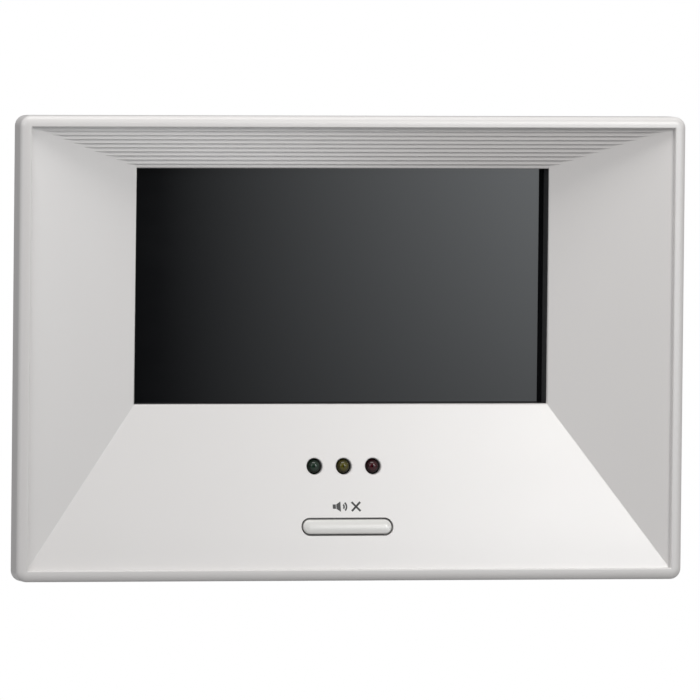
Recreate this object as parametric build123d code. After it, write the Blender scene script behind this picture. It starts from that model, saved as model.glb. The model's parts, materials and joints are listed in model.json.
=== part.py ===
from build123d import *
import math
import os

# Wall-mounted hands-free video intercom monitor, in millimetres.
# +X is to the right and +Z is up, seen from the room. The room is on the -Y side.
# The origin is the centre of the wall bracket's back face, so the wall is the plane y = 0.

# ---------------------------------------------------------------- clearances
slip = 0.2              # round a piece that drops into another
running = 0.06          # radial, round a turning shaft
foam_gap = 0.5          # round loose parts beside a wall
led_hole_gap = 0.45     # radial, round each lamp
head_gap = 0.425        # radial, round a sunk screw head
thread_slack = 0.02     # radial, between a screw and its pilot hole
pilot_extra = 0.6       # pilot hole beyond the screw's tip
past = 1.0              # how far a cut runs past the surface it opens

# ---------------------------------------------------------------- face
face_width = 251.0
face_height = 169.5
corner_radius = 4.0     # corners of the face, seen from the room
edge_radius = 1.9       # rounding between the rim and the skirt
rim_width = 4.1
rim_proud = 2.0         # rim in front of the panel's outer edge
lip_edge = 0.4          # rounding of the rim's inner edge
skirt_wall = 2.4
skirt_depth = 10.0
snap_rib_length = 14.0
snap_rib_height = 0.9

# ---------------------------------------------------------------- front panel
window_width = 156.0
window_height = 86.2
step_band = 15.35       # height of the stepped face above the window
step_count = 10
bowl_depth = 14.5       # panel's outer edge to the window's edge
well_depth = 7.0        # window's edge to the lens
flange_thickness = 3.0
panel_back_offset = 1.5  # window's edge to where the panel's back meets the well
lens_ledge = 1.8        # lens past the window on each side
lens_pocket_wall = 1.2
window_corner = 0.5
step_edge = 0.25        # rounding of each step's front edge

# ---------------------------------------------------------------- display
lens_thickness = 2.0
lens_corner = 0.6
lens_gasket_thickness = 1.0
lens_gasket_width = 1.6
lcd_width = 165.0
lcd_height = 104.0
lcd_depth = 6.3
lcd_sheet = 0.8         # steel case
lcd_opening_width = 157.0
lcd_opening_height = 89.0
lcd_glass_thickness = 2.0
lcd_clip_length = 14.0
lcd_clip_height = 10.0
lcd_clip_sheet = 1.0
lcd_clip_corner = 1.5
lcd_clip_margin = 1.0   # clip beyond its boss
lcd_corner = 1.0
sheet_corner = 0.3      # corners of loose sheets and foam
lcd_boss_offset = 5.0   # boss axis beside the display
lcd_boss_spread = 35.0  # boss axes above and below the display's centre
lcd_boss_radius = 3.2
flex_width = 18.0
flex_thickness = 0.3
flex_stand = 1.5        # flat lead in front of the main board
flex_plug = 1.0         # flat lead inside its socket

# ---------------------------------------------------------------- rear cover
cover_inset_x = 8.0     # cover's sides inside the face's outline
cover_inset_z = 5.5     # cover's top and bottom inside the face's outline
cover_corner = 6.0
cover_back_edge = 3.0
cover_wall = 2.2
rear_gap = 3.2          # behind the display
pocket_depth = 4.0      # recess that holds the wall bracket
wall_gap = 0.8          # cover's back to the wall
post_radius = 4.6
post_inset_x = 10.0     # case screw axis from the cover's side
post_inset_z = 11.25
post_length = 20.0      # cover's back to where the posts and panel bosses meet
boss_step = 1.0         # panel boss inside the post's outline
counterbore_depth = 13.2
vent_count = 12
vent_width = 2.0
vent_length = 16.0
vent_pitch = 7.0

# ---------------------------------------------------------------- wall bracket
bracket_width = 120.0
bracket_height = 110.0
bracket_sheet = 1.5
bracket_corner = 5.0
box_screw_x = 46.0      # wall box screws, a standard two-gang box
box_screw_z = 83.3
box_screw_radius = 2.25
cable_hole_width = 34.0
cable_hole_bottom = -50.0
cable_hole_top = -22.0
cable_hole_corner = 3.0
hook_width = 10.0
hook_x = 50.0
hook_upper_z = 40.0     # top of the hook's foot
hook_lower_z = -30.0
hook_rise = 6.0
hook_clearance = 0.3
hook_window_gap = 0.3   # opening behind each hook, beside it
hook_tip = 2.0
hook_bend_ratio = 0.6   # outer bend radius over sheet
lift_travel = 7.0
pocket_side_gap = 1.5

# ---------------------------------------------------------------- lamps and mute button
led_radius = 2.5
led_pitch = 11.05
led_body = 6.1          # board to the start of the dome
led_flange_rim = 0.4    # lamp's flange beyond its body
led_recess = 1.9        # start of the dome behind the panel's surface
led_flange_height = 1.0
led_drop = 0.378        # place of the lamps down the lower face, as a share of its height
lead_radius = 0.25
lead_spacing = 2.54
lead_tail = 1.0
button_drop = 0.743     # place of the button down the lower face
button_hole_width = 34.7
button_hole_height = 6.5
button_gap = 0.4
button_proud = 0.5
button_crown = 0.8
button_flange_margin = 1.2
button_flange_thickness = 1.2
button_foot = 0.5
button_travel = 0.5
guide_radius = 1.0
guide_spread = 13.0
guide_slack = 0.25
guide_tail = 0.6        # guide pin behind the button board
switch_size = 6.0
switch_body = 3.5
switch_bevel = 0.5
switch_floor = 1.2
plunger_radius = 1.7
plunger_slack = 0.1
plunger_end_gap = 0.3   # below the pressed plunger

# ---------------------------------------------------------------- boards
board_thickness = 1.6
board_corner = 1.0
board_post = 3.0        # recess floor to the main board
board_left = -95.0
board_right = 46.0
board_side_gap = 3.0    # board's lower edge to the cover
board_top_gap = 3.2     # board's upper edge to the display
board_hole_inset = 5.0
board_post_radius = 3.0
button_board_width = 55.0
button_board_top = 7.5  # above the lamp axes
button_board_bottom = 6.0  # below the button's axis
button_boss_radius = 2.8
button_boss_inset = 4.0
dial_board_width = 13.0
dial_board_height = 56.0

# ---------------------------------------------------------------- parts on the boards
chip_height = 1.5
chip_stand = 0.1        # chip's body in front of the board
chip_bevel = 0.25
pin_width = 0.26
pin_thickness = 0.3
pin_reach = 0.8
pin_share = 0.86        # share of a chip's side that has pins
can_ratio = 2.6         # capacitor's height over its radius
can_round_ratio = 0.15
crimp_depth = 0.25
crimp_low = 1.3
crimp_high = 1.9
coil_size = 12.0
coil_height = 6.0
coil_corner = 3.0
coil_edge = 1.0
coil_well_radius = 3.2
coil_well_depth = 0.8
crystal_length = 11.0
crystal_width = 4.6
crystal_height = 3.4
crystal_edge = 0.8
regulator_x = -62.0
regulator_rise = 13.0   # above the board's lower edge
regulator_width = 10.0
regulator_thickness = 4.4
regulator_inset = 1.0   # behind the heat sink's front
regulator_stand = 3.5   # body in front of the board
leg_spacing = 2.54
leg_width = 0.8
leg_thickness = 0.6
heat_sink_thickness = 2.0
heat_sink_length = 15.0
heat_sink_depth = 13.0
fin_count = 5
fin_thickness = 1.0
fin_height = 4.0
socket_edge = 1.0       # display's socket below the board's upper edge
socket_margin = 2.0     # socket beyond its lead, each side
socket_depth = 2.6
socket_height = 4.0
socket_corner = 0.4
socket_slack = 0.1
display_socket_height = 4.5
ribbon_width = 12.0
ribbon_thickness = 0.9
ribbon_x = 12.0
ribbon_rise = 1.5       # above the middle between the lamps and the button
ribbon_wires = 10
ribbon_overlap = 0.05   # neighbouring wires are moulded together
wire_socket_width = 6.0
wire_socket_height = 5.0
wire_socket_depth = 4.5
wire_socket_inset = 7.0  # speaker's socket from the board's right edge
wire_socket_rises = [14.0, 9.0]
microphone_socket_x = -72.5

# ---------------------------------------------------------------- terminal block
pole_pitch = 3.5
pole_count = 8
terminal_height = 10.0
terminal_depth = 8.0
terminal_z = -42.0
terminal_gap = 0.8
terminal_bevel = 0.8
entry_width = 2.3
entry_low = 1.6         # wire entry above the block's underside
entry_high = 4.2
entry_depth = 5.0
clamp_rise = 2.0        # clamp screw above the block's middle
clamp_hole_radius = 1.45
clamp_radius = 1.35
clamp_height = 3.6
clamp_slot_depth = 0.8
clamp_slot_width = 0.5

# ---------------------------------------------------------------- dials
dial_radius = 8.0
dial_thickness = 3.0
dial_proud = 1.2
dial_pitch = 28.0
dial_centre_z = -1.0
dial_notches = 36
dial_notch_radius = 0.35
dial_slot_side = 0.6
dial_recess_depth = 0.5
dial_recess_ratio = 0.6  # recess radius over wheel radius
dial_front = -17.5
dial_stub_radius = 1.5
dial_stub_length = 3.5
pot_size = 10.0
pot_depth = 3.5
pot_gap = 0.6
pot_floor = 0.5
pot_bevel = 1.0
dial_board_gap = 1.7    # dial board to the cover's side wall
dial_hole_inset = 3.2

# ---------------------------------------------------------------- speaker and microphone
speaker_x = 76.0
speaker_y = -21.0
speaker_length = 40.0
speaker_width = 20.0
speaker_rim = 3.0
speaker_flange = 1.0
speaker_basket = 5.0
speaker_magnet_radius = 7.0
speaker_magnet_depth = 5.0
speaker_gasket_thickness = 1.0
speaker_clamp_gap = 3.0  # clamp screw's axis beyond the speaker's end
speaker_boss_radius = 2.5
speaker_slot_count = 9
speaker_slot_width = 1.5
speaker_slot_pitch = 3.4
speaker_slot_length = 13.0
speaker_corner = 5.0
speaker_inner_corner = 3.0
basket_taper = 10.0     # basket's mouth longer than its back plate
basket_lip = 2.0        # basket's mouth longer than the flange's opening
basket_sheet = 1.0
magnet_bevel = 0.6
cone_sheet = 0.5
cone_gap = 0.2
dust_cap_ratio = 0.27   # dust cap's radius over the cone's width
dust_cap_height = 1.6
dust_cap_edge = 0.7
clamp_sheet = 1.0
clamp_tail = 3.0        # tab beyond its screw, away from the speaker
clamp_reach = 4.6       # tab towards the speaker
clamp_width = 6.0
clamp_corner = 1.0
speaker_screw_length = 4.6
microphone_x = -70.0
microphone_y = -21.0
microphone_radius = 3.0
microphone_height = 4.5
boot_wall = 1.4
boot_height = 7.0
boot_floor = 1.5
microphone_port = 0.75
wire_radius = 0.6
speaker_wire_bend = 3.0
speaker_wire_half = 0.9  # half the distance between the pair
speaker_wire_step = 2.0  # the pair leaves the basket side by side
speaker_wire_gap = 1.6  # from the magnet
speaker_wire_stand = 2.2  # in front of the main board
boot_edge = 0.5
boot_ring_wall = 1.2
boot_ring_height = 4.0
microphone_bevel = 0.3
microphone_wire_half = 1.0
microphone_wire_rise = 9.0
microphone_wire_bend = 1.6

# ---------------------------------------------------------------- screws
case_screw_radius = 1.5
case_screw_length = 14.0
small_screw_radius = 1.25
head_ratio = 1.85       # head radius over shank radius
head_height_ratio = 1.15
recess_ratio = 0.42     # recess width over shank radius
recess_arm_ratio = 0.62  # recess length over head width
recess_depth_ratio = 0.6  # recess depth over head height
head_round_ratio = 0.45
tip_ratio = 0.4         # bevel of the tip over shank radius
clearance_ratio = 1.12  # through hole over shank radius

# ---------------------------------------------------------------- derived places
depth = (
    rim_proud + bowl_depth + well_depth + lens_thickness + lens_gasket_thickness
    + lcd_depth + rear_gap + cover_wall + pocket_depth + wall_gap
)
rim_front = -depth
panel_edge = rim_front + rim_proud
window_edge = panel_edge + bowl_depth
lens_front = window_edge + well_depth
lens_back = lens_front + lens_thickness
lcd_front = lens_back + lens_gasket_thickness
lcd_back = lcd_front + lcd_depth
skirt_back = rim_front + skirt_depth

rim_x = face_width / 2 - rim_width
rim_z = face_height / 2 - rim_width
window_top = rim_z - step_band
window_bottom = window_top - window_height
window_z = (window_top + window_bottom) / 2
lower_face = window_bottom + rim_z
led_z = window_bottom - led_drop * lower_face
button_z = window_bottom - button_drop * lower_face
tread = step_band / step_count
riser = bowl_depth / step_count

flange_width = face_width - 2 * skirt_wall - 2 * slip
flange_height = face_height - 2 * skirt_wall - 2 * slip
flange_corner = corner_radius - skirt_wall
lens_width = window_width + 2 * lens_ledge
lens_height = window_height + 2 * lens_ledge
well_width = lens_width + 2 * slip + 2 * lens_pocket_wall
well_height = lens_height + 2 * slip + 2 * lens_pocket_wall

flange_back = panel_edge + flange_thickness
slope_back = window_edge + panel_back_offset
slope_x = flange_width / 2 - flange_corner
slope_z = flange_height / 2 - flange_corner

cover_width = face_width - 2 * cover_inset_x
cover_height = face_height - 2 * cover_inset_z
cover_back = -wall_gap
back_inner = cover_back - cover_wall
pocket_floor = cover_back - pocket_depth
pocket_inner = pocket_floor - cover_wall
cover_inner_x = cover_width / 2 - cover_wall
cover_inner_z = cover_height / 2 - cover_wall
pocket_width = bracket_width + 2 * pocket_side_gap
pocket_top = bracket_height / 2 + pocket_side_gap
pocket_bottom = -bracket_height / 2 - lift_travel - pocket_side_gap
post_x = cover_width / 2 - post_inset_x
post_z = cover_height / 2 - post_inset_z
post_front = cover_back - post_length
screw_seat = cover_back - counterbore_depth
counterbore_radius = case_screw_radius * head_ratio + head_gap

board_back = pocket_inner - board_post
board_front = board_back - board_thickness
board_bottom_z = -cover_inner_z + board_side_gap
board_top_z = window_z - lcd_height / 2 - board_top_gap
led_hole_radius = led_radius + led_hole_gap
led_flange_radius = led_radius + led_flange_rim
led_surface = window_edge - (window_bottom - led_z) * bowl_depth / lower_face
button_surface = window_edge - (window_bottom - button_z) * bowl_depth / lower_face
button_board_front = led_surface + led_recess + led_body
button_board_back = button_board_front + board_thickness

dial_back = dial_front + dial_thickness
speaker_clamp_offset = speaker_length / 2 + speaker_clamp_gap
speaker_inner_length = speaker_length - 2 * speaker_rim
speaker_inner_width = speaker_width - 2 * speaker_rim
pot_front = dial_back + pot_gap
pot_back = pot_front + pot_depth
dial_x = cover_width / 2 + dial_proud - dial_radius
dial_heights = [dial_centre_z + dial_pitch / 2, dial_centre_z - dial_pitch / 2]
dial_board_x = cover_inner_x - dial_board_gap - dial_board_width / 2
dial_post_x = dial_board_x - dial_board_width / 2 + dial_hole_inset
dial_post_z = dial_board_height / 2 - dial_hole_inset


# ---------------------------------------------------------------- helpers
def facing(x, y, z):
    """Plane through a point, looking at the room, with X across and Z up."""
    return Plane(origin=(x, y, z), x_dir=(1, 0, 0), z_dir=(0, -1, 0))


def block(x0, x1, y0, y1, z0, z1):
    """Box between two opposite corners."""
    return Pos((x0 + x1) / 2, (y0 + y1) / 2, (z0 + z1) / 2) * Box(x1 - x0, y1 - y0, z1 - z0)


def slab(width, height, radius, front, back, x=0.0, z=0.0):
    """Upright plate with rounded corners, from its front plane to its back plane."""
    outline = RectangleRounded(width, height, radius) if radius > 0 else Rectangle(width, height)
    return extrude(facing(x, back, z) * outline, amount=back - front)


def rod(x, z, front, back, radius):
    """Cylinder along Y."""
    return extrude(facing(x, back, z) * Circle(radius), amount=back - front)


def pillar(x, y, z0, z1, radius):
    """Cylinder along Z."""
    return Pos(x, y, (z0 + z1) / 2) * Cylinder(radius, z1 - z0)


def group(shapes):
    """Separate solids that share one node."""
    return Compound([solid for shape in shapes for solid in shape.solids()])


def edges_at_y(shape, y):
    """Edges that lie in the plane y."""
    return shape.edges().filter_by(lambda e: abs(e.bounding_box().min.Y - y) < 0.001
                                   and abs(e.bounding_box().max.Y - y) < 0.001)


def recess_cross(radius, height):
    """Cross recess, sunk from z = 0 down, for a screw whose head faces +Z."""
    width = 2 * recess_ratio * radius
    arm = 2 * head_ratio * radius * recess_arm_ratio
    bar = Pos(0, 0, -height * recess_depth_ratio / 2) * Box(arm, width, height * recess_depth_ratio)
    return bar + Rot(0, 0, 90) * bar


def screw(length, radius):
    """Pan-head screw along Z: the head's underside is at z = 0 and the shank goes down."""
    head_radius = head_ratio * radius
    head_height = head_height_ratio * radius
    head = Pos(0, 0, head_height / 2) * Cylinder(head_radius, head_height)
    head = fillet(head.edges().group_by(Axis.Z)[-1], head_height * head_round_ratio)
    shank = Pos(0, 0, -length / 2) * Cylinder(radius, length)
    shank = chamfer(shank.edges().group_by(Axis.Z)[0], radius * tip_ratio)
    return head + shank - Pos(0, 0, head_height) * recess_cross(radius, head_height)


def screws_from_back(places, seat, length, radius):
    """Screws driven towards the room, heads at the back."""
    return group([Pos(x, seat, z) * Rot(-90, 0, 0) * screw(length, radius) for x, z in places])


def screws_from_front(places, seat, length, radius):
    """Screws driven towards the wall, heads at the front."""
    return group([Pos(x, seat, z) * Rot(90, 0, 0) * screw(length, radius) for x, z in places])


def corners(half_x, half_z, x=0.0, z=0.0):
    """The four corners of a rectangle, as (x, z)."""
    return [(x + i * half_x, z + k * half_z) for i in (-1, 1) for k in (-1, 1)]


def wall_face_inside(x, z):
    """Y of the cover's inner back face behind a point: the recess floor or the outer back."""
    in_pocket = abs(x) < pocket_width / 2 and pocket_bottom < z < pocket_top
    return pocket_inner if in_pocket else back_inner


def rectangle_at(y, half_x, z0, z1):
    """Upright rectangle at depth y, as a face to loft from."""
    return facing(0, y, (z0 + z1) / 2) * Rectangle(2 * half_x, z1 - z0)


# ---------------------------------------------------------------- casing
case_posts = corners(post_x, post_z)
lcd_bosses = corners(lcd_width / 2 + lcd_boss_offset, lcd_boss_spread, 0.0, window_z)
button_boss_z0 = button_z - button_board_bottom + button_boss_inset
button_boss_z1 = led_z + button_board_top - button_boss_inset
button_bosses = [
    (side * (button_board_width / 2 - button_boss_inset), z)
    for side in (-1, 1)
    for z in (button_boss_z0, button_boss_z1)
]
button_screw_length = 6.0
lcd_screw_length = 8.0
board_screw_length = 5.0
board_holes = [
    (x, z)
    for x in (board_left + board_hole_inset, board_right - board_hole_inset)
    for z in (board_bottom_z + board_hole_inset, board_top_z - board_hole_inset)
]
dial_holes = [(dial_post_x, dial_centre_z + side * dial_post_z) for side in (-1, 1)]


def front_frame():
    """Rim and skirt in one moulding, with a lip that the panel bears against from behind."""
    frame = slab(face_width, face_height, corner_radius, rim_front, skirt_back)
    frame = fillet(edges_at_y(frame, rim_front), edge_radius)
    wall_x = face_width / 2 - skirt_wall
    wall_z = face_height / 2 - skirt_wall
    frame -= slab(2 * wall_x, 2 * wall_z, flange_corner, panel_edge, skirt_back)
    frame -= slab(2 * rim_x, 2 * rim_z, window_corner, rim_front, panel_edge)
    inner_loop = edges_at_y(frame, rim_front).filter_by(
        lambda e: abs(e.center().X) < rim_x + thread_slack and abs(e.center().Z) < rim_z + thread_slack
    )
    frame = fillet(inner_loop, lip_edge)
    rib_front = flange_back + slip
    rib_back = skirt_back - cover_wall - slip
    rib_y = (rib_front + rib_back) / 2
    rib_depth = rib_back - rib_front
    for x, z in corners(face_width / 4, wall_z - snap_rib_height / 2):
        frame += Pos(x, rib_y, z) * Box(snap_rib_length, rib_depth, snap_rib_height)
    for x, z in corners(wall_x - snap_rib_height / 2, face_height / 4):
        frame += Pos(x, rib_y, z) * Box(snap_rib_height, rib_depth, snap_rib_length)
    return frame


def bowl():
    """Space inside the panel: flat sides and lower face, and treads and risers above the window."""
    room = loft(
        [
            rectangle_at(panel_edge, rim_x, -rim_z, rim_z),
            rectangle_at(window_edge, window_width / 2, window_bottom, rim_z),
        ],
        ruled=True,
    )
    for i in range(step_count):
        low = rim_z - (i + 1) * tread
        front = panel_edge + (i + 1) * riser
        if i < step_count - 1:
            step = block(-rim_x, rim_x, front, window_edge + past, low, low + tread)
            front_edge = step.edges().filter_by(Axis.X).sort_by(Axis.Y)[:2].sort_by(Axis.Z)[0]
            room -= fillet(front_edge, step_edge)
    return room


def panel_body():
    """Outer form of the panel: flange, sloping back and the well's walls."""
    body = slab(flange_width, flange_height, flange_corner, panel_edge, flange_back)
    body += loft(
        [
            rectangle_at(flange_back, slope_x, -slope_z, slope_z),
            rectangle_at(slope_back, well_width / 2, window_z - well_height / 2, window_z + well_height / 2),
        ],
        ruled=True,
    )
    return body + slab(well_width, well_height, 0, slope_back, lens_back, 0, window_z)


def front_panel():
    """Sloping insert with the screen well, lamp holes, button hole and its bosses."""
    panel = panel_body()
    for x, z in case_posts:
        panel += rod(x, z, flange_back, post_front, post_radius - boss_step)
    for x, z in lcd_bosses:
        panel += rod(x, z, flange_back, lcd_back, lcd_boss_radius)
    for x, z in button_bosses:
        panel += rod(x, z, flange_back, button_board_front, button_boss_radius)
    panel -= bowl()
    panel -= slab(window_width, window_height, window_corner, window_edge - riser, lens_front, 0, window_z)
    panel -= slab(lens_width + 2 * slip, lens_height + 2 * slip, 0, lens_front, lens_back, 0, window_z)
    for i in (-1, 0, 1):
        panel -= rod(i * led_pitch, led_z, panel_edge, button_board_front, led_hole_radius)
    panel -= extrude(
        facing(0, button_board_front, button_z) * SlotOverall(button_hole_width, button_hole_height),
        amount=button_board_front - panel_edge,
    )
    for x, z in case_posts:
        tip = screw_seat - case_screw_length - pilot_extra
        panel -= rod(x, z, tip, post_front, case_screw_radius + thread_slack)
    for x, z in lcd_bosses:
        tip = lcd_back + lcd_clip_sheet - lcd_screw_length - pilot_extra
        panel -= rod(x, z, tip, lcd_back, small_screw_radius + thread_slack)
    for x, z in button_bosses:
        tip = button_board_back - button_screw_length - pilot_extra
        panel -= rod(x, z, tip, button_board_front, small_screw_radius + thread_slack)
    return panel


def hook_slots():
    """Openings in the recess floor that the bracket's hooks pass through."""
    half = hook_width / 2 + foam_gap
    tall = bracket_sheet + lift_travel + foam_gap
    slots = []
    for side in (-1, 1):
        for top in (hook_upper_z, hook_lower_z):
            x = side * hook_x
            front, back = pocket_inner - past, pocket_floor + past
            slots.append(block(x - half, x + half, front, back, top - tall, top + slip))
    return slots


def rear_cover():
    """Back half of the casing, with the bracket recess, posts, vents and openings."""
    cover = slab(cover_width, cover_height, cover_corner, skirt_back, cover_back)
    cover = fillet(edges_at_y(cover, cover_back), cover_back_edge)
    cover += slab(flange_width, flange_height, flange_corner, skirt_back - cover_wall, skirt_back)
    cover -= slab(
        2 * cover_inner_x, 2 * cover_inner_z, cover_corner - cover_wall, skirt_back - cover_wall, back_inner
    )
    cover -= Pos(0, foam_gap, 0) * panel_body()
    pocket_height = pocket_top - pocket_bottom
    pocket_z = (pocket_top + pocket_bottom) / 2
    outer_width = pocket_width + 2 * cover_wall
    outer_height = pocket_height + 2 * cover_wall
    cover += slab(outer_width, outer_height, bracket_corner, pocket_inner, back_inner, 0, pocket_z)
    cover -= slab(pocket_width, pocket_height, bracket_corner, pocket_floor, cover_back, 0, pocket_z)
    for x, z in case_posts:
        cover += rod(x, z, post_front, back_inner, post_radius)
        cover -= rod(x, z, screw_seat, cover_back, counterbore_radius)
        cover -= rod(x, z, post_front, screw_seat, case_screw_radius * clearance_ratio)
    for x, z in board_holes:
        cover += rod(x, z, board_back, wall_face_inside(x, z), board_post_radius)
        tip = board_front + board_screw_length + pilot_extra
        cover -= rod(x, z, board_back, tip, small_screw_radius + thread_slack)
    for x, z in dial_holes:
        cover += rod(x, z, pot_back + board_thickness, back_inner, board_post_radius)
        tip = pot_back + board_screw_length + pilot_extra
        cover -= rod(x, z, pot_back, tip, small_screw_radius + thread_slack)
    for slot in hook_slots():
        cover -= slot
    half = pole_count * pole_pitch / 2 + terminal_gap
    cover -= block(
        -half, half, pocket_inner - past, pocket_floor + past,
        terminal_z - terminal_height / 2 - terminal_gap, terminal_z + terminal_height / 2 + terminal_gap,
    )
    for z in dial_heights:
        reach = math.sqrt(dial_radius**2 - (dial_radius - dial_proud - cover_wall) ** 2) + dial_slot_side
        cover -= block(
            cover_inner_x - past, cover_width / 2 + past,
            dial_front - dial_slot_side, dial_back + dial_slot_side, z - reach, z + reach,
        )
    vent_y = (skirt_back + back_inner) / 2
    for i in range(vent_count):
        x = (i - (vent_count - 1) / 2) * vent_pitch
        cover -= Pos(x, vent_y, cover_inner_z) * Box(vent_width, vent_length, 4 * cover_wall)
    cover = cover + speaker_bosses() + microphone_ring()
    for i in range(speaker_slot_count):
        x = speaker_x + (i - (speaker_slot_count - 1) / 2) * speaker_slot_pitch
        slot = Box(speaker_slot_width, speaker_slot_length, 4 * cover_wall)
        cover -= Pos(x, speaker_y, -cover_inner_z) * slot
    outside = -cover_height / 2 - past
    cover -= pillar(microphone_x, microphone_y, outside, -cover_inner_z + past, microphone_port)
    for x in speaker_boss_places():
        cover -= pillar(x, speaker_y, speaker_pilot_bottom, flange_top, small_screw_radius + thread_slack)
    return cover


def case_screws():
    """Four long screws that draw the rear cover to the front panel's bosses."""
    return screws_from_back(case_posts, screw_seat, case_screw_length, case_screw_radius)


def wall_bracket():
    """Pressed steel plate with four hooks bent forward and up."""
    plate = slab(bracket_width, bracket_height, bracket_corner, -bracket_sheet, 0)
    for x, z in corners(box_screw_x / 2, box_screw_z / 2):
        plate -= rod(x, z, -bracket_sheet, 0, box_screw_radius)
    cable_height = cable_hole_top - cable_hole_bottom
    cable_z = (cable_hole_top + cable_hole_bottom) / 2
    plate -= slab(cable_hole_width, cable_height, cable_hole_corner, -bracket_sheet, 0, 0, cable_z)
    leg_back = pocket_inner - hook_clearance
    leg_front = leg_back - bracket_sheet
    for side in (-1, 1):
        for top in (hook_upper_z, hook_lower_z):
            x0 = side * hook_x - hook_width / 2
            x1 = side * hook_x + hook_width / 2
            foot_bottom = top - bracket_sheet
            window = hook_rise + 2 * bracket_sheet
            gap = hook_window_gap
            plate -= block(x0 - gap, x1 + gap, -bracket_sheet, 0, foot_bottom - window, foot_bottom)
            foot = block(x0, x1, leg_front, 0, foot_bottom, top)
            leg = block(x0, x1, leg_front, leg_back, foot_bottom, top + hook_rise)
            tip_edges = leg.edges().filter_by(Axis.Y).group_by(Axis.Z)[-1]
            hook = foot + fillet(tip_edges, hook_tip)
            bend = hook.edges().filter_by(Axis.X).sort_by(lambda e: e.center().Y + e.center().Z)[0]
            plate += fillet(bend, bracket_sheet * hook_bend_ratio)
    return plate


# ---------------------------------------------------------------- display
def window_lens():
    """Tinted acrylic pane at the bottom of the well."""
    return slab(lens_width, lens_height, lens_corner, lens_front, lens_back, 0, window_z)


def lens_gasket():
    """Foam frame between the pane and the display."""
    ring = slab(lens_width, lens_height, lens_corner, lens_back, lcd_front, 0, window_z)
    return ring - slab(
        lens_width - 2 * lens_gasket_width, lens_height - 2 * lens_gasket_width, sheet_corner,
        lens_back, lcd_front, 0, window_z,
    )


def lcd_case():
    """Folded steel tray that holds the display together, open over the picture."""
    case = slab(lcd_width, lcd_height, lcd_corner, lcd_front, lcd_back, 0, window_z)
    case -= slab(
        lcd_width - 2 * lcd_sheet, lcd_height - 2 * lcd_sheet, sheet_corner,
        lcd_front + lcd_sheet, lcd_back - lcd_sheet, 0, window_z,
    )
    return case - slab(
        lcd_opening_width, lcd_opening_height, window_corner, lcd_front, lcd_front + lcd_sheet, 0, window_z
    )


def lcd_layer(front, back):
    """One sheet inside the display's case."""
    clear = 2 * lcd_sheet + 2 * slip
    return slab(lcd_width - clear, lcd_height - clear, sheet_corner, front, back, 0, window_z)


def lcd_glass():
    """Liquid-crystal cell."""
    return lcd_layer(lcd_front + lcd_sheet, lcd_front + lcd_sheet + lcd_glass_thickness)


def lcd_backlight():
    """Light guide and its diffuser sheets."""
    return lcd_layer(lcd_front + lcd_sheet + lcd_glass_thickness, lcd_back - lcd_sheet)


def lcd_clips():
    """Four steel clips that press the display against the panel."""
    clips = []
    for x, z in lcd_bosses:
        side = math.copysign(1, x)
        outer = x + side * (lcd_boss_radius + lcd_clip_margin)
        inner = outer - side * lcd_clip_length
        x0, x1 = sorted((inner, outer))
        low = z - lcd_clip_height / 2
        clip = block(x0, x1, lcd_back, lcd_back + lcd_clip_sheet, low, low + lcd_clip_height)
        clip = fillet(clip.edges().filter_by(Axis.Y), lcd_clip_corner)
        hole_radius = small_screw_radius * clearance_ratio
        clips.append(clip - rod(x, z, lcd_back, lcd_back + lcd_clip_sheet, hole_radius))
    return group(clips)


def lcd_screws():
    """Screws through the display clips."""
    return screws_from_back(lcd_bosses, lcd_back + lcd_clip_sheet, lcd_screw_length, small_screw_radius)


flex_front = board_front - flex_stand
display_socket_top = board_top_z - socket_edge


def lcd_flex():
    """Flat flexible lead from the display down to its socket."""
    low = display_socket_top - flex_plug
    top = window_z - lcd_height / 2
    return block(-flex_width / 2, flex_width / 2, flex_front, flex_front + flex_thickness, low, top)


# ---------------------------------------------------------------- main board
board_height = board_top_z - board_bottom_z
board_width = board_right - board_left


def main_board():
    """Main circuit board, upright behind the lower part of the panel."""
    x = (board_left + board_right) / 2
    z = (board_bottom_z + board_top_z) / 2
    board = slab(board_width, board_height, board_corner, board_front, board_back, x, z)
    for hole_x, hole_z in board_holes:
        board -= rod(hole_x, hole_z, board_front, board_back, small_screw_radius * clearance_ratio)
    return board


def board_screws():
    """Screws that hold the main board to the cover's posts."""
    return screws_from_front(board_holes, board_front, board_screw_length, small_screw_radius)


def chip(x, z, size, pins):
    """Flat square chip with gull-wing pins on all four sides."""
    half = size / 2
    body = block(x - half, x + half, board_front - chip_height, board_front - chip_stand, z - half, z + half)
    body = chamfer(body.faces().sort_by(Axis.Y)[0].edges(), chip_bevel)
    pitch = size * pin_share / pins
    reach = half + pin_reach
    front = board_front - pin_thickness
    for i in range(pins):
        low = (i - (pins - 1) / 2) * pitch - pin_width / 2
        high = low + pin_width
        body += block(x - reach, x + reach, front, board_front, z + low, z + high)
        body += block(x + low, x + high, front, board_front, z - reach, z + reach)
    return body


chip_z = (board_bottom_z + board_top_z) / 2


def processor_chip():
    """Video processor."""
    x, z, size, pins = processor_place
    return chip(x, chip_z + z, size, pins)


def memory_chips():
    """Two smaller chips: memory and sound amplifier."""
    return group([chip(x, chip_z + z, size, pins) for x, z, size, pins in small_chip_places])


# Places on the board: x, height above its middle, and size or radius.
processor_place = (-38.0, 2.0, 14.0, 12)
small_chip_places = [(-58.0, 6.0, 8.0, 7), (34.0, 7.0, 8.0, 7)]
capacitor_places = [(-84.0, 12.0, 4.0), (-73.0, 12.0, 4.0), (31.0, -7.0, 3.15), (-46.0, -12.0, 3.15)]
coil_place = (-84.0, -4.0)
crystal_place = (-24.0, 12.0)


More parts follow.
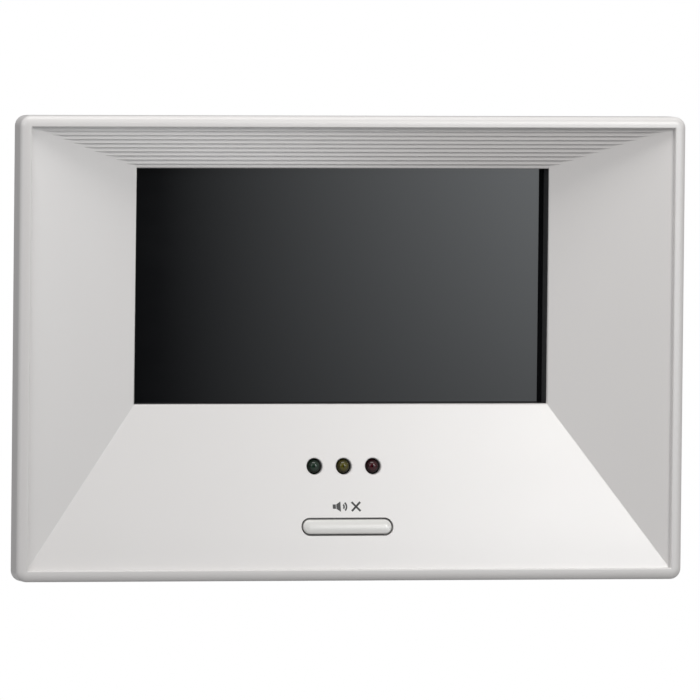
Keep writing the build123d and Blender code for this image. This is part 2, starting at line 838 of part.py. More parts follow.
def capacitors():
    """Upright electrolytic capacitors with a rounded crimp under the top."""
    cans = []
    for x, dz, radius in capacitor_places:
        z = chip_z + dz
        front = board_front - can_ratio * radius
        can = fillet(edges_at_y(rod(x, z, front, board_front, radius), front), radius * can_round_ratio)
        groove = rod(x, z, board_front - crimp_high, board_front - crimp_low, radius + past)
        groove -= rod(x, z, board_front - crimp_high, board_front - crimp_low, radius - crimp_depth)
        cans.append(can - groove)
    return group(cans)


def power_coil():
    """Shielded coil of the power supply."""
    x, z = coil_place
    front = board_front - coil_height
    coil = slab(coil_size, coil_size, coil_corner, front, board_front, x, chip_z + z)
    coil = fillet(edges_at_y(coil, front), coil_edge)
    return coil - rod(x, chip_z + z, front, front + coil_well_depth, coil_well_radius)


def crystal():
    """Low can of the clock crystal."""
    x, z = crystal_place
    outline = SlotOverall(crystal_length, crystal_width)
    can = extrude(facing(x, board_front, chip_z + z) * outline, amount=crystal_height)
    return fillet(edges_at_y(can, board_front - crystal_height), crystal_edge)


regulator_z = board_bottom_z + regulator_rise


def heat_sink():
    """Finned aluminium extrusion standing on the board."""
    top = regulator_z + heat_sink_thickness
    left = regulator_x - heat_sink_length / 2
    right = regulator_x + heat_sink_length / 2
    front = board_front - heat_sink_depth
    sink = block(left, right, front, board_front, regulator_z, top)
    pitch = (heat_sink_length - fin_thickness) / (fin_count - 1)
    for i in range(fin_count):
        x = left + i * pitch
        sink += block(x, x + fin_thickness, front, board_front, top, top + fin_height)
    return sink


def regulator():
    """Voltage regulator, its back against the heat sink and its legs in the board."""
    front = board_front - heat_sink_depth + regulator_inset
    back = board_front - regulator_stand
    left = regulator_x - regulator_width / 2
    low = regulator_z - regulator_thickness
    body = block(left, left + regulator_width, front, back, low, regulator_z)
    leg_low = regulator_z - regulator_thickness / 2 - leg_thickness / 2
    for i in (-1, 0, 1):
        leg_left = regulator_x + i * leg_spacing - leg_width / 2
        body += block(leg_left, leg_left + leg_width, back, board_front, leg_low, leg_low + leg_thickness)
    return body


def display_socket():
    """Socket of the display's flat lead."""
    low = display_socket_top - display_socket_height
    half = flex_width / 2
    body = block(
        -half - socket_margin, half + socket_margin,
        board_front - socket_depth, board_front, low, display_socket_top,
    )
    slot = block(
        -half - socket_slack, half + socket_slack,
        flex_front - socket_slack, flex_front + flex_thickness + socket_slack,
        display_socket_top - flex_plug, display_socket_top,
    )
    return body - slot


ribbon_z = (led_z + button_z) / 2 + ribbon_rise


def ribbon_sockets():
    """A socket on the main board and one on the button board, face to face."""
    width = ribbon_width + 2 * socket_margin
    low = ribbon_z - socket_height / 2
    sockets = []
    for front, back in (
        (board_front - socket_depth, board_front),
        (button_board_back, button_board_back + socket_depth),
    ):
        body = block(ribbon_x - width / 2, ribbon_x + width / 2, front, back, low, low + socket_height)
        sockets.append(fillet(body.edges().filter_by(Axis.Y), socket_corner))
    return group(sockets)


def ribbon_cable():
    """Short ribbon between the two boards: parallel wires side by side."""
    pitch = ribbon_width / ribbon_wires
    front = button_board_back + socket_depth
    back = board_front - socket_depth
    places = [ribbon_x + (i - (ribbon_wires - 1) / 2) * pitch for i in range(ribbon_wires)]
    width = pitch + ribbon_overlap
    wires = [slab(width, ribbon_thickness, sheet_corner, front, back, x, ribbon_z) for x in places]
    return wires[0].fuse(*wires[1:])


def pole_places():
    """X of each pole of the terminal block."""
    return [(i - (pole_count - 1) / 2) * pole_pitch for i in range(pole_count)]


def terminal_block():
    """Screw terminals that pass through the cover into the bracket's recess."""
    half = pole_count * pole_pitch / 2
    back = board_back + terminal_depth
    low = terminal_z - terminal_height / 2
    body = block(-half, half, board_back, back, low, low + terminal_height)
    body = chamfer(body.edges().filter_by(Axis.X).group_by(Axis.Y)[-1], terminal_bevel)
    for x in pole_places():
        left = x - entry_width / 2
        body -= block(left, left + entry_width, back - entry_depth, back, low + entry_low, low + entry_high)
        body -= rod(x, terminal_z + clamp_rise, back - entry_depth, back, clamp_hole_radius)
    return body


def terminal_screws():
    """Slotted clamp screws of the terminal block."""
    seat = board_back + terminal_depth - entry_depth
    top = seat + clamp_height
    z = terminal_z + clamp_rise
    low = z - clamp_slot_width / 2
    shapes = []
    for x in pole_places():
        head = rod(x, z, seat, top, clamp_radius)
        reach = clamp_radius + past
        high = low + clamp_slot_width
        shapes.append(head - block(x - reach, x + reach, top - clamp_slot_depth, top, low, high))
    return group(shapes)


wire_socket_x = [board_right - wire_socket_inset, microphone_socket_x]
wire_socket_z = [board_bottom_z + rise for rise in wire_socket_rises]


def wire_sockets():
    """Two-pin sockets for the speaker and the microphone."""
    bodies = []
    for x, z in zip(wire_socket_x, wire_socket_z):
        left = x - wire_socket_width / 2
        low = z - wire_socket_height / 2
        front = board_front - wire_socket_depth
        body = block(left, left + wire_socket_width, front, board_front, low, low + wire_socket_height)
        bodies.append(chamfer(body.edges().filter_by(Axis.Y), socket_corner))
    return group(bodies)


# ---------------------------------------------------------------- button board and lamps
button_board_z0 = button_z - button_board_bottom
button_board_z1 = led_z + button_board_top


def button_board():
    """Small board behind the lower face, for the lamps and the switch."""
    height = button_board_z1 - button_board_z0
    z = (button_board_z0 + button_board_z1) / 2
    board = slab(button_board_width, height, board_corner, button_board_front, button_board_back, 0, z)
    for x, hole_z in button_bosses:
        board -= rod(x, hole_z, button_board_front, button_board_back, small_screw_radius * clearance_ratio)
    for side in (-1, 1):
        board -= rod(
            side * guide_spread, button_z, button_board_front, button_board_back, guide_radius + guide_slack
        )
    for x in lead_places():
        board -= rod(x, led_z, button_board_front, button_board_back, lead_radius + thread_slack)
    return board


def button_board_screws():
    """Screws that hold the button board to the panel's bosses."""
    return screws_from_back(button_bosses, button_board_back, button_screw_length, small_screw_radius)


def led(i):
    """Round-topped lamp with its flange on the board; one side of the flange is flat."""
    x = i * led_pitch
    front = button_board_front - led_body
    body = rod(x, led_z, front, button_board_front, led_radius)
    dome = Pos(x, front, led_z) * Sphere(led_radius)
    low = led_z - led_radius
    high = led_z + led_radius
    dome &= block(x - led_radius, x + led_radius, front - led_radius, front, low, high)
    flange = rod(x, led_z, button_board_front - led_flange_height, button_board_front, led_flange_radius)
    flat = x + led_radius
    reach = led_flange_radius + past
    flange_front = button_board_front - led_flange_height
    flange -= block(flat, x + reach, flange_front, button_board_front, led_z - reach, led_z + reach)
    return body + dome + flange


def lead_places():
    """X of each lamp lead."""
    return [i * led_pitch + side * lead_spacing / 2 for i in (-1, 0, 1) for side in (-1, 1)]


def lamp_leads():
    """Lamp leads, through the board and trimmed behind it."""
    tail = button_board_back + lead_tail
    return group([rod(x, led_z, button_board_front, tail, lead_radius) for x in lead_places()])


def lower_back(z):
    """Y of the back of the panel's lower face at height z."""
    well_bottom = window_z - well_height / 2
    return slope_back - (well_bottom - z) * (slope_back - flange_back) / (well_bottom + slope_z)


button_flange_front = lower_back(button_z + button_hole_height / 2 + button_flange_margin) + slip
button_flange_back = button_flange_front + button_flange_thickness
plunger_tip = button_flange_back + button_foot
switch_front = button_board_front - switch_body


def mute_button():
    """Long round-ended cap with a domed face that follows the panel's slope."""
    width = button_hole_width - 2 * button_gap
    height = button_hole_height - 2 * button_gap
    slope = bowl_depth / lower_face
    cap_front = button_surface - button_proud - slope * height
    outline = SlotOverall(width, height)
    cap = extrude(facing(0, button_flange_back, button_z) * outline, amount=button_flange_back - cap_front)
    angle = math.degrees(math.atan(slope))
    tilt = Pos(0, button_surface - button_proud, button_z) * Rot(angle, 0, 0)
    cap -= tilt * Pos(0, -width / 2, 0) * Box(2 * width, width, 4 * height)
    face = cap.faces().sort_by(Axis.Y)[0]
    cap = fillet(face.edges(), button_crown)
    margin = 2 * button_flange_margin
    cap += extrude(
        facing(0, button_flange_back, button_z) * SlotOverall(width + margin, height + margin),
        amount=button_flange_thickness,
    )
    cap += rod(0, button_z, button_flange_back, plunger_tip, plunger_radius)
    guide_tip = button_board_back + guide_tail
    for side in (-1, 1):
        cap += rod(side * guide_spread, button_z, button_flange_back, guide_tip, guide_radius)
    return cap


def mute_switch():
    """Body of the push switch, soldered to the button board."""
    half = switch_size / 2
    body = block(-half, half, switch_front, button_board_front, button_z - half, button_z + half)
    body = chamfer(body.edges().filter_by(Axis.Y), switch_bevel)
    return body - rod(
        0, button_z, switch_front, button_board_front - switch_floor, plunger_radius + plunger_slack
    )


def switch_plunger():
    """Moving stem of the push switch."""
    inner = button_board_front - switch_floor - button_travel - plunger_end_gap
    return rod(0, button_z, plunger_tip, inner, plunger_radius)


# ---------------------------------------------------------------- dials
def dial_wheel(z):
    """Edge wheel with a notched rim, a recessed face and a stub shaft."""
    wheel = rod(dial_x, z, dial_front, dial_back, dial_radius)
    for i in range(dial_notches):
        angle = 2 * math.pi * i / dial_notches
        x = dial_x + dial_radius * math.cos(angle)
        wheel -= rod(x, z + dial_radius * math.sin(angle), dial_front, dial_back, dial_notch_radius)
    wheel -= rod(dial_x, z, dial_front, dial_front + dial_recess_depth, dial_radius * dial_recess_ratio)
    return wheel + rod(dial_x, z, dial_back, dial_back + dial_stub_length, dial_stub_radius)


def dial_pots():
    """Bodies of the two potentiometers that the wheels turn in."""
    bodies = []
    for z in dial_heights:
        half = pot_size / 2
        top = min(dial_x + half, cover_inner_x - slip)
        body = block(dial_x - half, top, pot_front, pot_back, z - half, z + half)
        body = chamfer(body.edges().filter_by(Axis.Y), pot_bevel)
        bodies.append(body - rod(dial_x, z, pot_front, pot_back - pot_floor, dial_stub_radius + running))
    return group(bodies)


def dial_board():
    """Small board that holds the potentiometers."""
    back = pot_back + board_thickness
    x = dial_board_x
    board = slab(dial_board_width, dial_board_height, board_corner, pot_back, back, x, dial_centre_z)
    for x, z in dial_holes:
        board -= rod(x, z, pot_back, back, small_screw_radius * clearance_ratio)
    return board


def dial_board_screws():
    """Screws that hold the dial board to the cover's posts."""
    return screws_from_front(dial_holes, pot_back, board_screw_length, small_screw_radius)


# ---------------------------------------------------------------- speaker and microphone
gasket_top = -cover_inner_z + speaker_gasket_thickness
flange_top = gasket_top + speaker_flange
basket_top = flange_top + speaker_basket
speaker_pilot_bottom = flange_top + clamp_sheet - speaker_screw_length - slip


def floor_plate(length, width, radius, z0, z1):
    """Level plate with rounded corners under the speaker's centre."""
    outline = Plane.XY.offset(z0) * RectangleRounded(length, width, radius)
    return Pos(speaker_x, speaker_y, 0) * extrude(outline, amount=z1 - z0)


def speaker_boss_places():
    """X of the two screw bosses beside the speaker."""
    return [speaker_x - speaker_clamp_offset, speaker_x + speaker_clamp_offset]


def speaker_bosses():
    """Bosses on the cover's floor for the speaker clamps."""
    left, right = speaker_boss_places()
    low = -cover_inner_z - cover_wall / 2
    return pillar(left, speaker_y, low, flange_top, speaker_boss_radius) + pillar(
        right, speaker_y, low, flange_top, speaker_boss_radius
    )


def speaker_gasket():
    """Foam ring between the speaker and the cover."""
    ring = floor_plate(speaker_length, speaker_width, speaker_corner, -cover_inner_z, gasket_top)
    return ring - floor_plate(
        speaker_inner_length, speaker_inner_width, speaker_inner_corner, -cover_inner_z, gasket_top
    )


def basket_taper_solid(inset, top):
    """Tapering body of the basket, from the flange up to a height."""
    length = speaker_inner_length + basket_lip - inset
    width = speaker_inner_width + basket_lip - inset
    mouth = RectangleRounded(length, width, speaker_inner_corner)
    plate = RectangleRounded(length - basket_taper, width - basket_lip, speaker_inner_corner)
    ends = [Plane.XY.offset(flange_top) * mouth, Plane.XY.offset(top) * plate]
    return Pos(speaker_x, speaker_y, 0) * loft(ends)


def speaker_frame():
    """Pressed basket: a flange, tapering walls and a back plate."""
    frame = floor_plate(speaker_length, speaker_width, speaker_corner, gasket_top, flange_top)
    frame += basket_taper_solid(0, basket_top)
    frame -= basket_taper_solid(2 * basket_sheet, basket_top - basket_sheet)
    return frame - floor_plate(
        speaker_inner_length, speaker_inner_width, speaker_inner_corner, gasket_top, flange_top
    )


def speaker_cone():
    """Shallow paper cone with a dust cap, inside the frame."""
    length = speaker_inner_length - 2 * cone_gap
    width = speaker_inner_width - 2 * cone_gap
    low = gasket_top + cone_gap
    rise = low + cone_sheet
    cone = floor_plate(length, width, speaker_inner_corner - cone_gap, low, rise)
    cap = pillar(speaker_x, speaker_y, rise, rise + dust_cap_height, width * dust_cap_ratio)
    return cone + fillet(cap.edges().group_by(Axis.Z)[-1], dust_cap_edge)


def speaker_magnet():
    """Magnet and yoke on the basket's back."""
    magnet_top = basket_top + speaker_magnet_depth
    magnet = pillar(speaker_x, speaker_y, basket_top, magnet_top, speaker_magnet_radius)
    return chamfer(magnet.edges().group_by(Axis.Z)[-1], magnet_bevel)


def speaker_clamps():
    """Two tabs that hold the speaker's flange down."""
    tabs = []
    for x in speaker_boss_places():
        side = math.copysign(1, x - speaker_x)
        x0, x1 = sorted((x + side * clamp_tail, x - side * clamp_reach))
        half = clamp_width / 2
        tab = block(x0, x1, speaker_y - half, speaker_y + half, flange_top, flange_top + clamp_sheet)
        tab = fillet(tab.edges().filter_by(Axis.Z), clamp_corner)
        hole = small_screw_radius * clearance_ratio
        tabs.append(tab - pillar(x, speaker_y, flange_top, flange_top + clamp_sheet, hole))
    return group(tabs)


def speaker_screws():
    """Screws through the speaker clamps."""
    seat = flange_top + clamp_sheet
    places = speaker_boss_places()
    return group([Pos(x, speaker_y, seat) * screw(speaker_screw_length, small_screw_radius) for x in places])


def wire(points, bend):
    """Insulated wire along straight runs joined by arcs."""
    path = FilletPolyline(*points, radius=bend)
    start = Plane(origin=path @ 0, z_dir=path % 0)
    return sweep(start * Circle(wire_radius), path=path)


def speaker_wires():
    """Pair of wires from the speaker's back to its socket."""
    socket_right = wire_socket_x[0] + wire_socket_width / 2
    socket_z = wire_socket_z[0]
    pair = []
    for side in (-1, 1):
        y = board_front - speaker_wire_stand + side * speaker_wire_half
        x = speaker_x - speaker_magnet_radius - speaker_wire_gap - (side + 1) / 2 * speaker_wire_step
        route = [(x, y, basket_top), (x, y, socket_z), (socket_right, y, socket_z)]
        pair.append(wire(route, speaker_wire_bend))
    return group(pair)


def microphone_ring():
    """Round wall on the cover's floor that locates the microphone boot."""
    inner = microphone_radius + boot_wall + slip
    floor = -cover_inner_z
    top = floor + boot_ring_height
    ring = pillar(microphone_x, microphone_y, floor - cover_wall / 2, top, inner + boot_ring_wall)
    return ring - pillar(microphone_x, microphone_y, floor, top, inner)


def microphone_boot():
    """Rubber boot round the microphone, with a port to the hole in the cover."""
    low = -cover_inner_z
    boot = pillar(microphone_x, microphone_y, low, low + boot_height, microphone_radius + boot_wall)
    boot = fillet(boot.edges().group_by(Axis.Z)[-1], boot_edge)
    boot -= pillar(microphone_x, microphone_y, low + boot_floor, low + boot_height, microphone_radius)
    return boot - pillar(microphone_x, microphone_y, low, low + boot_floor, microphone_port)


def microphone():
    """Microphone capsule."""
    low = -cover_inner_z + boot_floor
    capsule = pillar(microphone_x, microphone_y, low, low + microphone_height, microphone_radius)
    return chamfer(capsule.edges().group_by(Axis.Z)[-1], microphone_bevel)


def microphone_wires():
    """Pair of wires from the microphone to its socket."""
    start = -cover_inner_z + boot_floor + microphone_height
    end = board_front - wire_socket_depth
    pair = []
    for side in (-1, 1):
        offset = side * microphone_wire_half
        x = microphone_x + offset
        socket_x = microphone_socket_x + offset
        z = start + microphone_wire_rise - offset
        y = microphone_y
        route = [(x, y, start), (x, y, z), (socket_x, y, z), (socket_x, end, z)]
        pair.append(wire(route, microphone_wire_bend))
    return group(pair)


# ---------------------------------------------------------------- write every sub-part
NODES = {
    "wall_bracket": wall_bracket(),
    "front_frame": front_frame(),
    "front_panel": front_panel(),
    "rear_cover": rear_cover(),
    "case_screws": case_screws(),
    "window_lens": window_lens(),
    "lens_gasket": lens_gasket(),
    "lcd_case": lcd_case(),
    "lcd_glass": lcd_glass(),
    "lcd_backlight": lcd_backlight(),
    "lcd_clips": lcd_clips(),
    "lcd_screws": lcd_screws(),
    "lcd_flex": lcd_flex(),
    "main_board": main_board(),
    "board_screws": board_screws(),
    "processor_chip": processor_chip(),
    "memory_chips": memory_chips(),
    "capacitors": capacitors(),
    "power_coil": power_coil(),
    "crystal": crystal(),
    "regulator": regulator(),
    "heat_sink": heat_sink(),
    "display_socket": display_socket(),
    "ribbon_sockets": ribbon_sockets(),
    "ribbon_cable": ribbon_cable(),
    "wire_sockets": wire_sockets(),
    "terminal_block": terminal_block(),
    "terminal_screws": terminal_screws(),
    "button_board": button_board(),
    "button_board_screws": button_board_screws(),
    "led_green": led(-1),
    "led_yellow": led(0),
    "led_red": led(1),
    "lamp_leads": lamp_leads(),
    "mute_button": mute_button(),
    "mute_switch": mute_switch(),
    "switch_plunger": switch_plunger(),
    "volume_wheel": dial_wheel(dial_heights[0]),
    "brightness_wheel": dial_wheel(dial_heights[1]),
    "dial_pots": dial_pots(),
    "dial_board": dial_board(),
    "dial_board_screws": dial_board_screws(),
    "speaker_gasket": speaker_gasket(),
    "speaker_frame": speaker_frame(),
    "speaker_cone": speaker_cone(),
    "speaker_magnet": speaker_magnet(),
    "speaker_clamps": speaker_clamps(),
    "speaker_screws": speaker_screws(),
    "speaker_wires": speaker_wires(),
    "microphone": microphone(),
    "microphone_boot": microphone_boot(),
    "microphone_wires": microphone_wires(),
}

os.makedirs("parts", exist_ok=True)
for name, shape in NODES.items():
    export_step(shape, f"parts/{name}.step")
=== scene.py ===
import json
import logging
import math
from dataclasses import dataclass, field
from enum import Enum
from functools import partial
from typing import Union

import bmesh
import bpy
from bpy.types import Material, Object
from mathutils import Matrix, Vector


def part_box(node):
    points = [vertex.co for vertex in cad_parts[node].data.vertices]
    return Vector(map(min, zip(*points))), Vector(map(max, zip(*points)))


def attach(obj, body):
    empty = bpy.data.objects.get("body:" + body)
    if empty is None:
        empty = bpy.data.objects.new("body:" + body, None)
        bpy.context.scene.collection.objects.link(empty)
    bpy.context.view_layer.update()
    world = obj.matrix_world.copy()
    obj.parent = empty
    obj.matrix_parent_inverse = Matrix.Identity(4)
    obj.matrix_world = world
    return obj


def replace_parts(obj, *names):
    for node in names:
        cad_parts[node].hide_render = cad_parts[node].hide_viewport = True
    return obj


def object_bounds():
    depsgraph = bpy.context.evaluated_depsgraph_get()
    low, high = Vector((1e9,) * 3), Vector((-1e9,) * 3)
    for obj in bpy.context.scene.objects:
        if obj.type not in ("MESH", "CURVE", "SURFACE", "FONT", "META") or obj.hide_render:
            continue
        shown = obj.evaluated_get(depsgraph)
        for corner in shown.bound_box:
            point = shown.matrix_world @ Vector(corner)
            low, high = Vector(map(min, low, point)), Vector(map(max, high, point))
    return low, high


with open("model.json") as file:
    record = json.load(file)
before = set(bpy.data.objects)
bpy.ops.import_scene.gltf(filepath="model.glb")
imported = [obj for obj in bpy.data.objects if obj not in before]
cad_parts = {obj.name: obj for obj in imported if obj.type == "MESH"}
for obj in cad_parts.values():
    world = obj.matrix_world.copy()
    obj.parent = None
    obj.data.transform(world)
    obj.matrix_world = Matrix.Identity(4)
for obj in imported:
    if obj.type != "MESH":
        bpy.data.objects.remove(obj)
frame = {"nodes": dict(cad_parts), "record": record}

# Looks of a wall-mounted video intercom monitor: a framed face that slopes in to a deep screen.
# Meshes are gathered in millimetres. +X is right and +Z is up seen from the room, on the -Y side.

MM = 0.001
CAD_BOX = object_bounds()
LOG = logging.getLogger("intercom_monitor")

Colour = tuple[float, float, float]
Pair = tuple[float, float]
Spot = tuple[float, float, float]
Number = Union["Sock", float]


def grey(level: float) -> Colour:
    """A linear grey."""
    return (level, level, level)


def box_mm(node: str) -> tuple[Vector, Vector]:
    """Lowest and highest corners of a CAD node, in millimetres."""
    low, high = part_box(node)
    return Vector(low) / MM, Vector(high) / MM


def middle_mm(node: str) -> Vector:
    """Middle of a CAD node's box, in millimetres."""
    low, high = box_mm(node)
    return (low + high) / 2


def add_object(name: str, data: bpy.types.ID) -> Object:
    """Put a mesh, light or camera in the scene.

    Args:
        name: The object's name.
        data: What it holds.

    Returns:
        The object.
    """
    made = bpy.data.objects.new(name, data)
    bpy.context.scene.collection.objects.link(made)
    return made


# ---- shader maths
class Sock:
    """A node's output that takes part in arithmetic."""

    def __init__(self, shader: "Shader", socket: bpy.types.NodeSocket) -> None:
        """Wrap an output socket of a tree."""
        self.shader = shader
        self.socket = socket

    def math(self, operation: str, *values: Number) -> "Sock":
        """Apply a Math node.

        Args:
            operation: The node's operation.
            *values: Its inputs, in order.

        Returns:
            The result.
        """
        return self.shader.node("ShaderNodeMath", {"operation": operation}, dict(enumerate(values)))

    def __add__(self, other: Number) -> "Sock":
        """Sum."""
        return self.math("ADD", self, other)

    __radd__ = __add__

    def __sub__(self, other: Number) -> "Sock":
        """Difference."""
        return self.math("SUBTRACT", self, other)

    def __rsub__(self, other: float) -> "Sock":
        """A number less this value."""
        return self.math("SUBTRACT", other, self)

    def __mul__(self, other: Number) -> "Sock":
        """Product."""
        return self.math("MULTIPLY", self, other)

    __rmul__ = __mul__

    def __pow__(self, other: float) -> "Sock":
        """Power."""
        return self.math("POWER", self, other)

    def larger(self, other: Number) -> "Sock":
        """The larger of two values."""
        return self.math("MAXIMUM", self, other)

    def smaller(self, other: Number) -> "Sock":
        """The smaller of two values."""
        return self.math("MINIMUM", self, other)

    def rise(self, low: float, high: float) -> "Sock":
        """Go smoothly from 0 at low to 1 at high.

        Args:
            low: Where the rise begins.
            high: Where it ends.

        Returns:
            A value from 0 to 1.
        """
        inputs = {0: self, 1: low, 2: high, 3: 0.0, 4: 1.0}
        return self.shader.node("ShaderNodeMapRange", {"interpolation_type": "SMOOTHSTEP"}, inputs)


class Shader:
    """A node tree that is being written."""

    def __init__(self, owner: Material | bpy.types.World) -> None:
        """Start an empty tree for its owner.

        Args:
            owner: The material or world that the tree belongs to.
        """
        owner.use_nodes = True
        self.tree = owner.node_tree
        self.tree.nodes.clear()

    def node(
        self, kind: str, settings: dict | None = None, inputs: dict | None = None, out: int | str = 0
    ) -> Sock:
        """Add a node.

        Args:
            kind: The node's type.
            settings: Its attributes, set before its sockets.
            inputs: Values or links by socket name or number.
            out: The output to hand back.

        Returns:
            The chosen output.
        """
        made = self.tree.nodes.new(kind)
        for key, value in (settings or {}).items():
            setattr(made, key, value)
        for key, value in (inputs or {}).items():
            if isinstance(value, Sock):
                self.tree.links.new(value.socket, made.inputs[key])
            else:
                opaque = made.inputs[key].type == "RGBA"
                made.inputs[key].default_value = (*value, 1.0) if opaque else value
        return Sock(self, made.outputs[out]) if made.outputs else Sock(self, made.inputs[0])

    def place(self) -> Sock:
        """Position on the object at rest, in metres."""
        return self.node("ShaderNodeTexCoord", out="Object")

    def along(self, axis: str) -> Sock:
        """One coordinate of the position, in metres."""
        return self.node("ShaderNodeSeparateXYZ", inputs={0: self.place()}, out=axis)

    def stretched(self, factors: Spot) -> Sock:
        """Position scaled along each axis.

        Args:
            factors: Scale along X, Y and Z.

        Returns:
            The scaled position.
        """
        return self.node("ShaderNodeVectorMath", {"operation": "MULTIPLY"}, {0: self.place(), 1: factors})

    def noise(self, size: float, detail: float = 2.0, at: Sock | None = None) -> Sock:
        """Soft noise from 0 to 1.

        Args:
            size: Size of its features, in millimetres.
            detail: Octaves.
            at: Where it is read; the position if left out.

        Returns:
            The noise.
        """
        inputs = {"Vector": at or self.place(), "Scale": 1 / (size * MM), "Detail": detail}
        return self.node("ShaderNodeTexNoise", inputs=inputs)

    def cells(self, size: float, feature: str = "F1", out: str = "Distance") -> Sock:
        """Irregular cells.

        Args:
            size: Size of a cell, in millimetres.
            feature: What is measured.
            out: The output to hand back.

        Returns:
            The chosen output.
        """
        inputs = {"Vector": self.place(), "Scale": 1 / (size * MM)}
        return self.node("ShaderNodeTexVoronoi", {"feature": feature}, inputs, out)

    def mix(self, first: "Sock | Colour", second: "Sock | Colour", factor: Number) -> Sock:
        """Blend two colours.

        Args:
            first: The colour at 0.
            second: The colour at 1.
            factor: The blend.

        Returns:
            The colour.
        """
        return self.node("ShaderNodeMix", {"data_type": "RGBA"}, {0: factor, 6: first, 7: second}, 2)

    def output(self, kind: str, surface: Sock) -> None:
        """Link a surface or a background to an output node of a kind."""
        self.node(kind, inputs={"Surface": surface})


# ---- finishes
class Pattern(Enum):
    """What a finish looks like close up."""

    PEEL = "smooth moulding with a faint waviness"
    GRAIN = "spark-eroded moulding"
    BRUSHED = "drawn or rolled metal"
    SPANGLE = "zinc-plated steel"
    FIBRE = "pressed paper"
    FOAM = "open foam"
    TRACES = "circuit board with tracks and vias"
    SPECKLE = "filled resin or ferrite"
    SMUDGE = "polished sheet with faint wiping marks"
    EPOXY = "clear lamp body over its cup"
    STRANDS = "insulation of parallel wires"


@dataclass(frozen=True)
class Marks:
    """The three masks of a pattern, each from 0 to 1."""

    tone: Sock
    height: Sock
    polish: Sock


@dataclass(frozen=True)
class Finish:
    """Two tones mixed by a pattern, with its gloss and relief."""

    pattern: Pattern
    colour: Colour
    second: Colour
    rough: Pair = (0.3, 0.4)
    size: float = 1.0
    relief: float = 0.01
    metallic: float = 0.0
    coat: float = 0.0
    specular: float = 0.5
    axis: Pair = (0.0, 0.0)

    def marks(self, shader: Shader) -> Marks:
        """Write the pattern's nodes.

        Args:
            shader: The tree to write in.

        Returns:
            Its masks.
        """
        size = self.size
        broad = shader.noise(38 * size, 2.0)
        match self.pattern:
            case Pattern.PEEL:
                waves = 0.7 * shader.noise(size, 1.0) + 0.3 * shader.noise(0.22 * size, 2.0)
                return Marks(broad, waves, shader.noise(9 * size, 3.0))
            case Pattern.GRAIN:
                pits = shader.cells(size).rise(0.05, 0.75)
                return Marks(broad, pits * (0.6 + 0.4 * shader.noise(0.5 * size)), pits)
            case Pattern.BRUSHED:
                lines = shader.noise(size, 3.0, shader.stretched((0.04, 1.0, 1.0)))
                return Marks(lines, lines, shader.noise(14 * size, 2.0))
            case Pattern.SPANGLE:
                flakes = 1.0 * shader.cells(size, out="Color")
                scratches = shader.noise(0.15 * size, 4.0, shader.stretched((1.0, 1.0, 0.05)))
                return Marks(flakes, 0.4 * flakes + 0.6 * scratches, flakes)
            case Pattern.FIBRE:
                across = shader.noise(size, 4.0, shader.stretched((0.12, 1.0, 1.0)))
                along = shader.noise(size, 4.0, shader.stretched((1.0, 0.12, 1.0)))
                fibres = across.larger(along)
                return Marks(fibres.rise(0.45, 0.75), fibres, broad)
            case Pattern.FOAM:
                pores = shader.cells(size).rise(0.1, 0.6)
                return Marks(pores, pores, broad)
            case Pattern.TRACES:
                tracks = 1 - shader.cells(size, "DISTANCE_TO_EDGE").rise(0.03, 0.05)
                vias = 1 - shader.cells(0.55 * size).rise(0.1, 0.14)
                copper = tracks.larger(vias)
                return Marks(copper, copper, 1 - vias)
            case Pattern.SPECKLE:
                specks = shader.noise(size, 5.0).rise(0.42, 0.7)
                return Marks(specks, specks, broad)
            case Pattern.SMUDGE:
                wiped = shader.noise(12 * size, 4.0, shader.stretched((1.0, 1.0, 2.6))).rise(0.4, 0.75)
                return Marks(broad, shader.noise(7 * size, 1.0), wiped)
            case Pattern.EPOXY:
                dx = shader.along("X") - self.axis[0] * MM
                dz = shader.along("Z") - self.axis[1] * MM
                radius = (dx * dx + dz * dz) ** 0.5
                cup = radius.rise(0.35 * MM, 0.6 * MM) * (1 - radius.rise(1.1 * MM, 1.9 * MM))
                return Marks(cup, shader.noise(size, 2.0), broad)
            case Pattern.STRANDS:
                ribs = shader.node(
                    "ShaderNodeTexWave", {"bands_direction": "X"},
                    {"Vector": shader.place(), "Scale": 0.314 / (size * MM), "Distortion": 0.4},
                )
                return Marks(broad, 1.0 * ribs, broad)

    def build(self, name: str) -> Material:
        """Make the finish a material.

        Args:
            name: The material's name.

        Returns:
            The material.
        """
        material = bpy.data.materials.new(name)
        material.diffuse_color = (*self.colour, 1.0)
        shader = Shader(material)
        marks = self.marks(shader)
        low, high = self.rough
        bump = {"Height": marks.height, "Distance": self.relief * MM, "Strength": 1.0}
        normal = shader.node("ShaderNodeBump", inputs=bump, out="Normal")
        surface = shader.node(
            "ShaderNodeBsdfPrincipled", {"distribution": "MULTI_GGX"},
            {
                "Base Color": shader.mix(self.colour, self.second, marks.tone),
                "Roughness": low + (high - low) * marks.polish,
                "Metallic": self.metallic,
                "Coat Weight": self.coat,
                "Coat Roughness": 0.05,
                "Specular IOR Level": self.specular,
                "Normal": normal,
            },
        )
        shader.output("ShaderNodeOutputMaterial", surface)
        return material


LAMP_COLOURS = ("green", "yellow", "red")
LAMP_Z = middle_mm("led_yellow").z


moulding = partial(Finish, Pattern.PEEL)
eroded = partial(Finish, Pattern.GRAIN)
filled = partial(Finish, Pattern.SPECKLE)
drawn_metal = partial(Finish, Pattern.BRUSHED, metallic=1.0)
insulation = partial(Finish, Pattern.STRANDS)


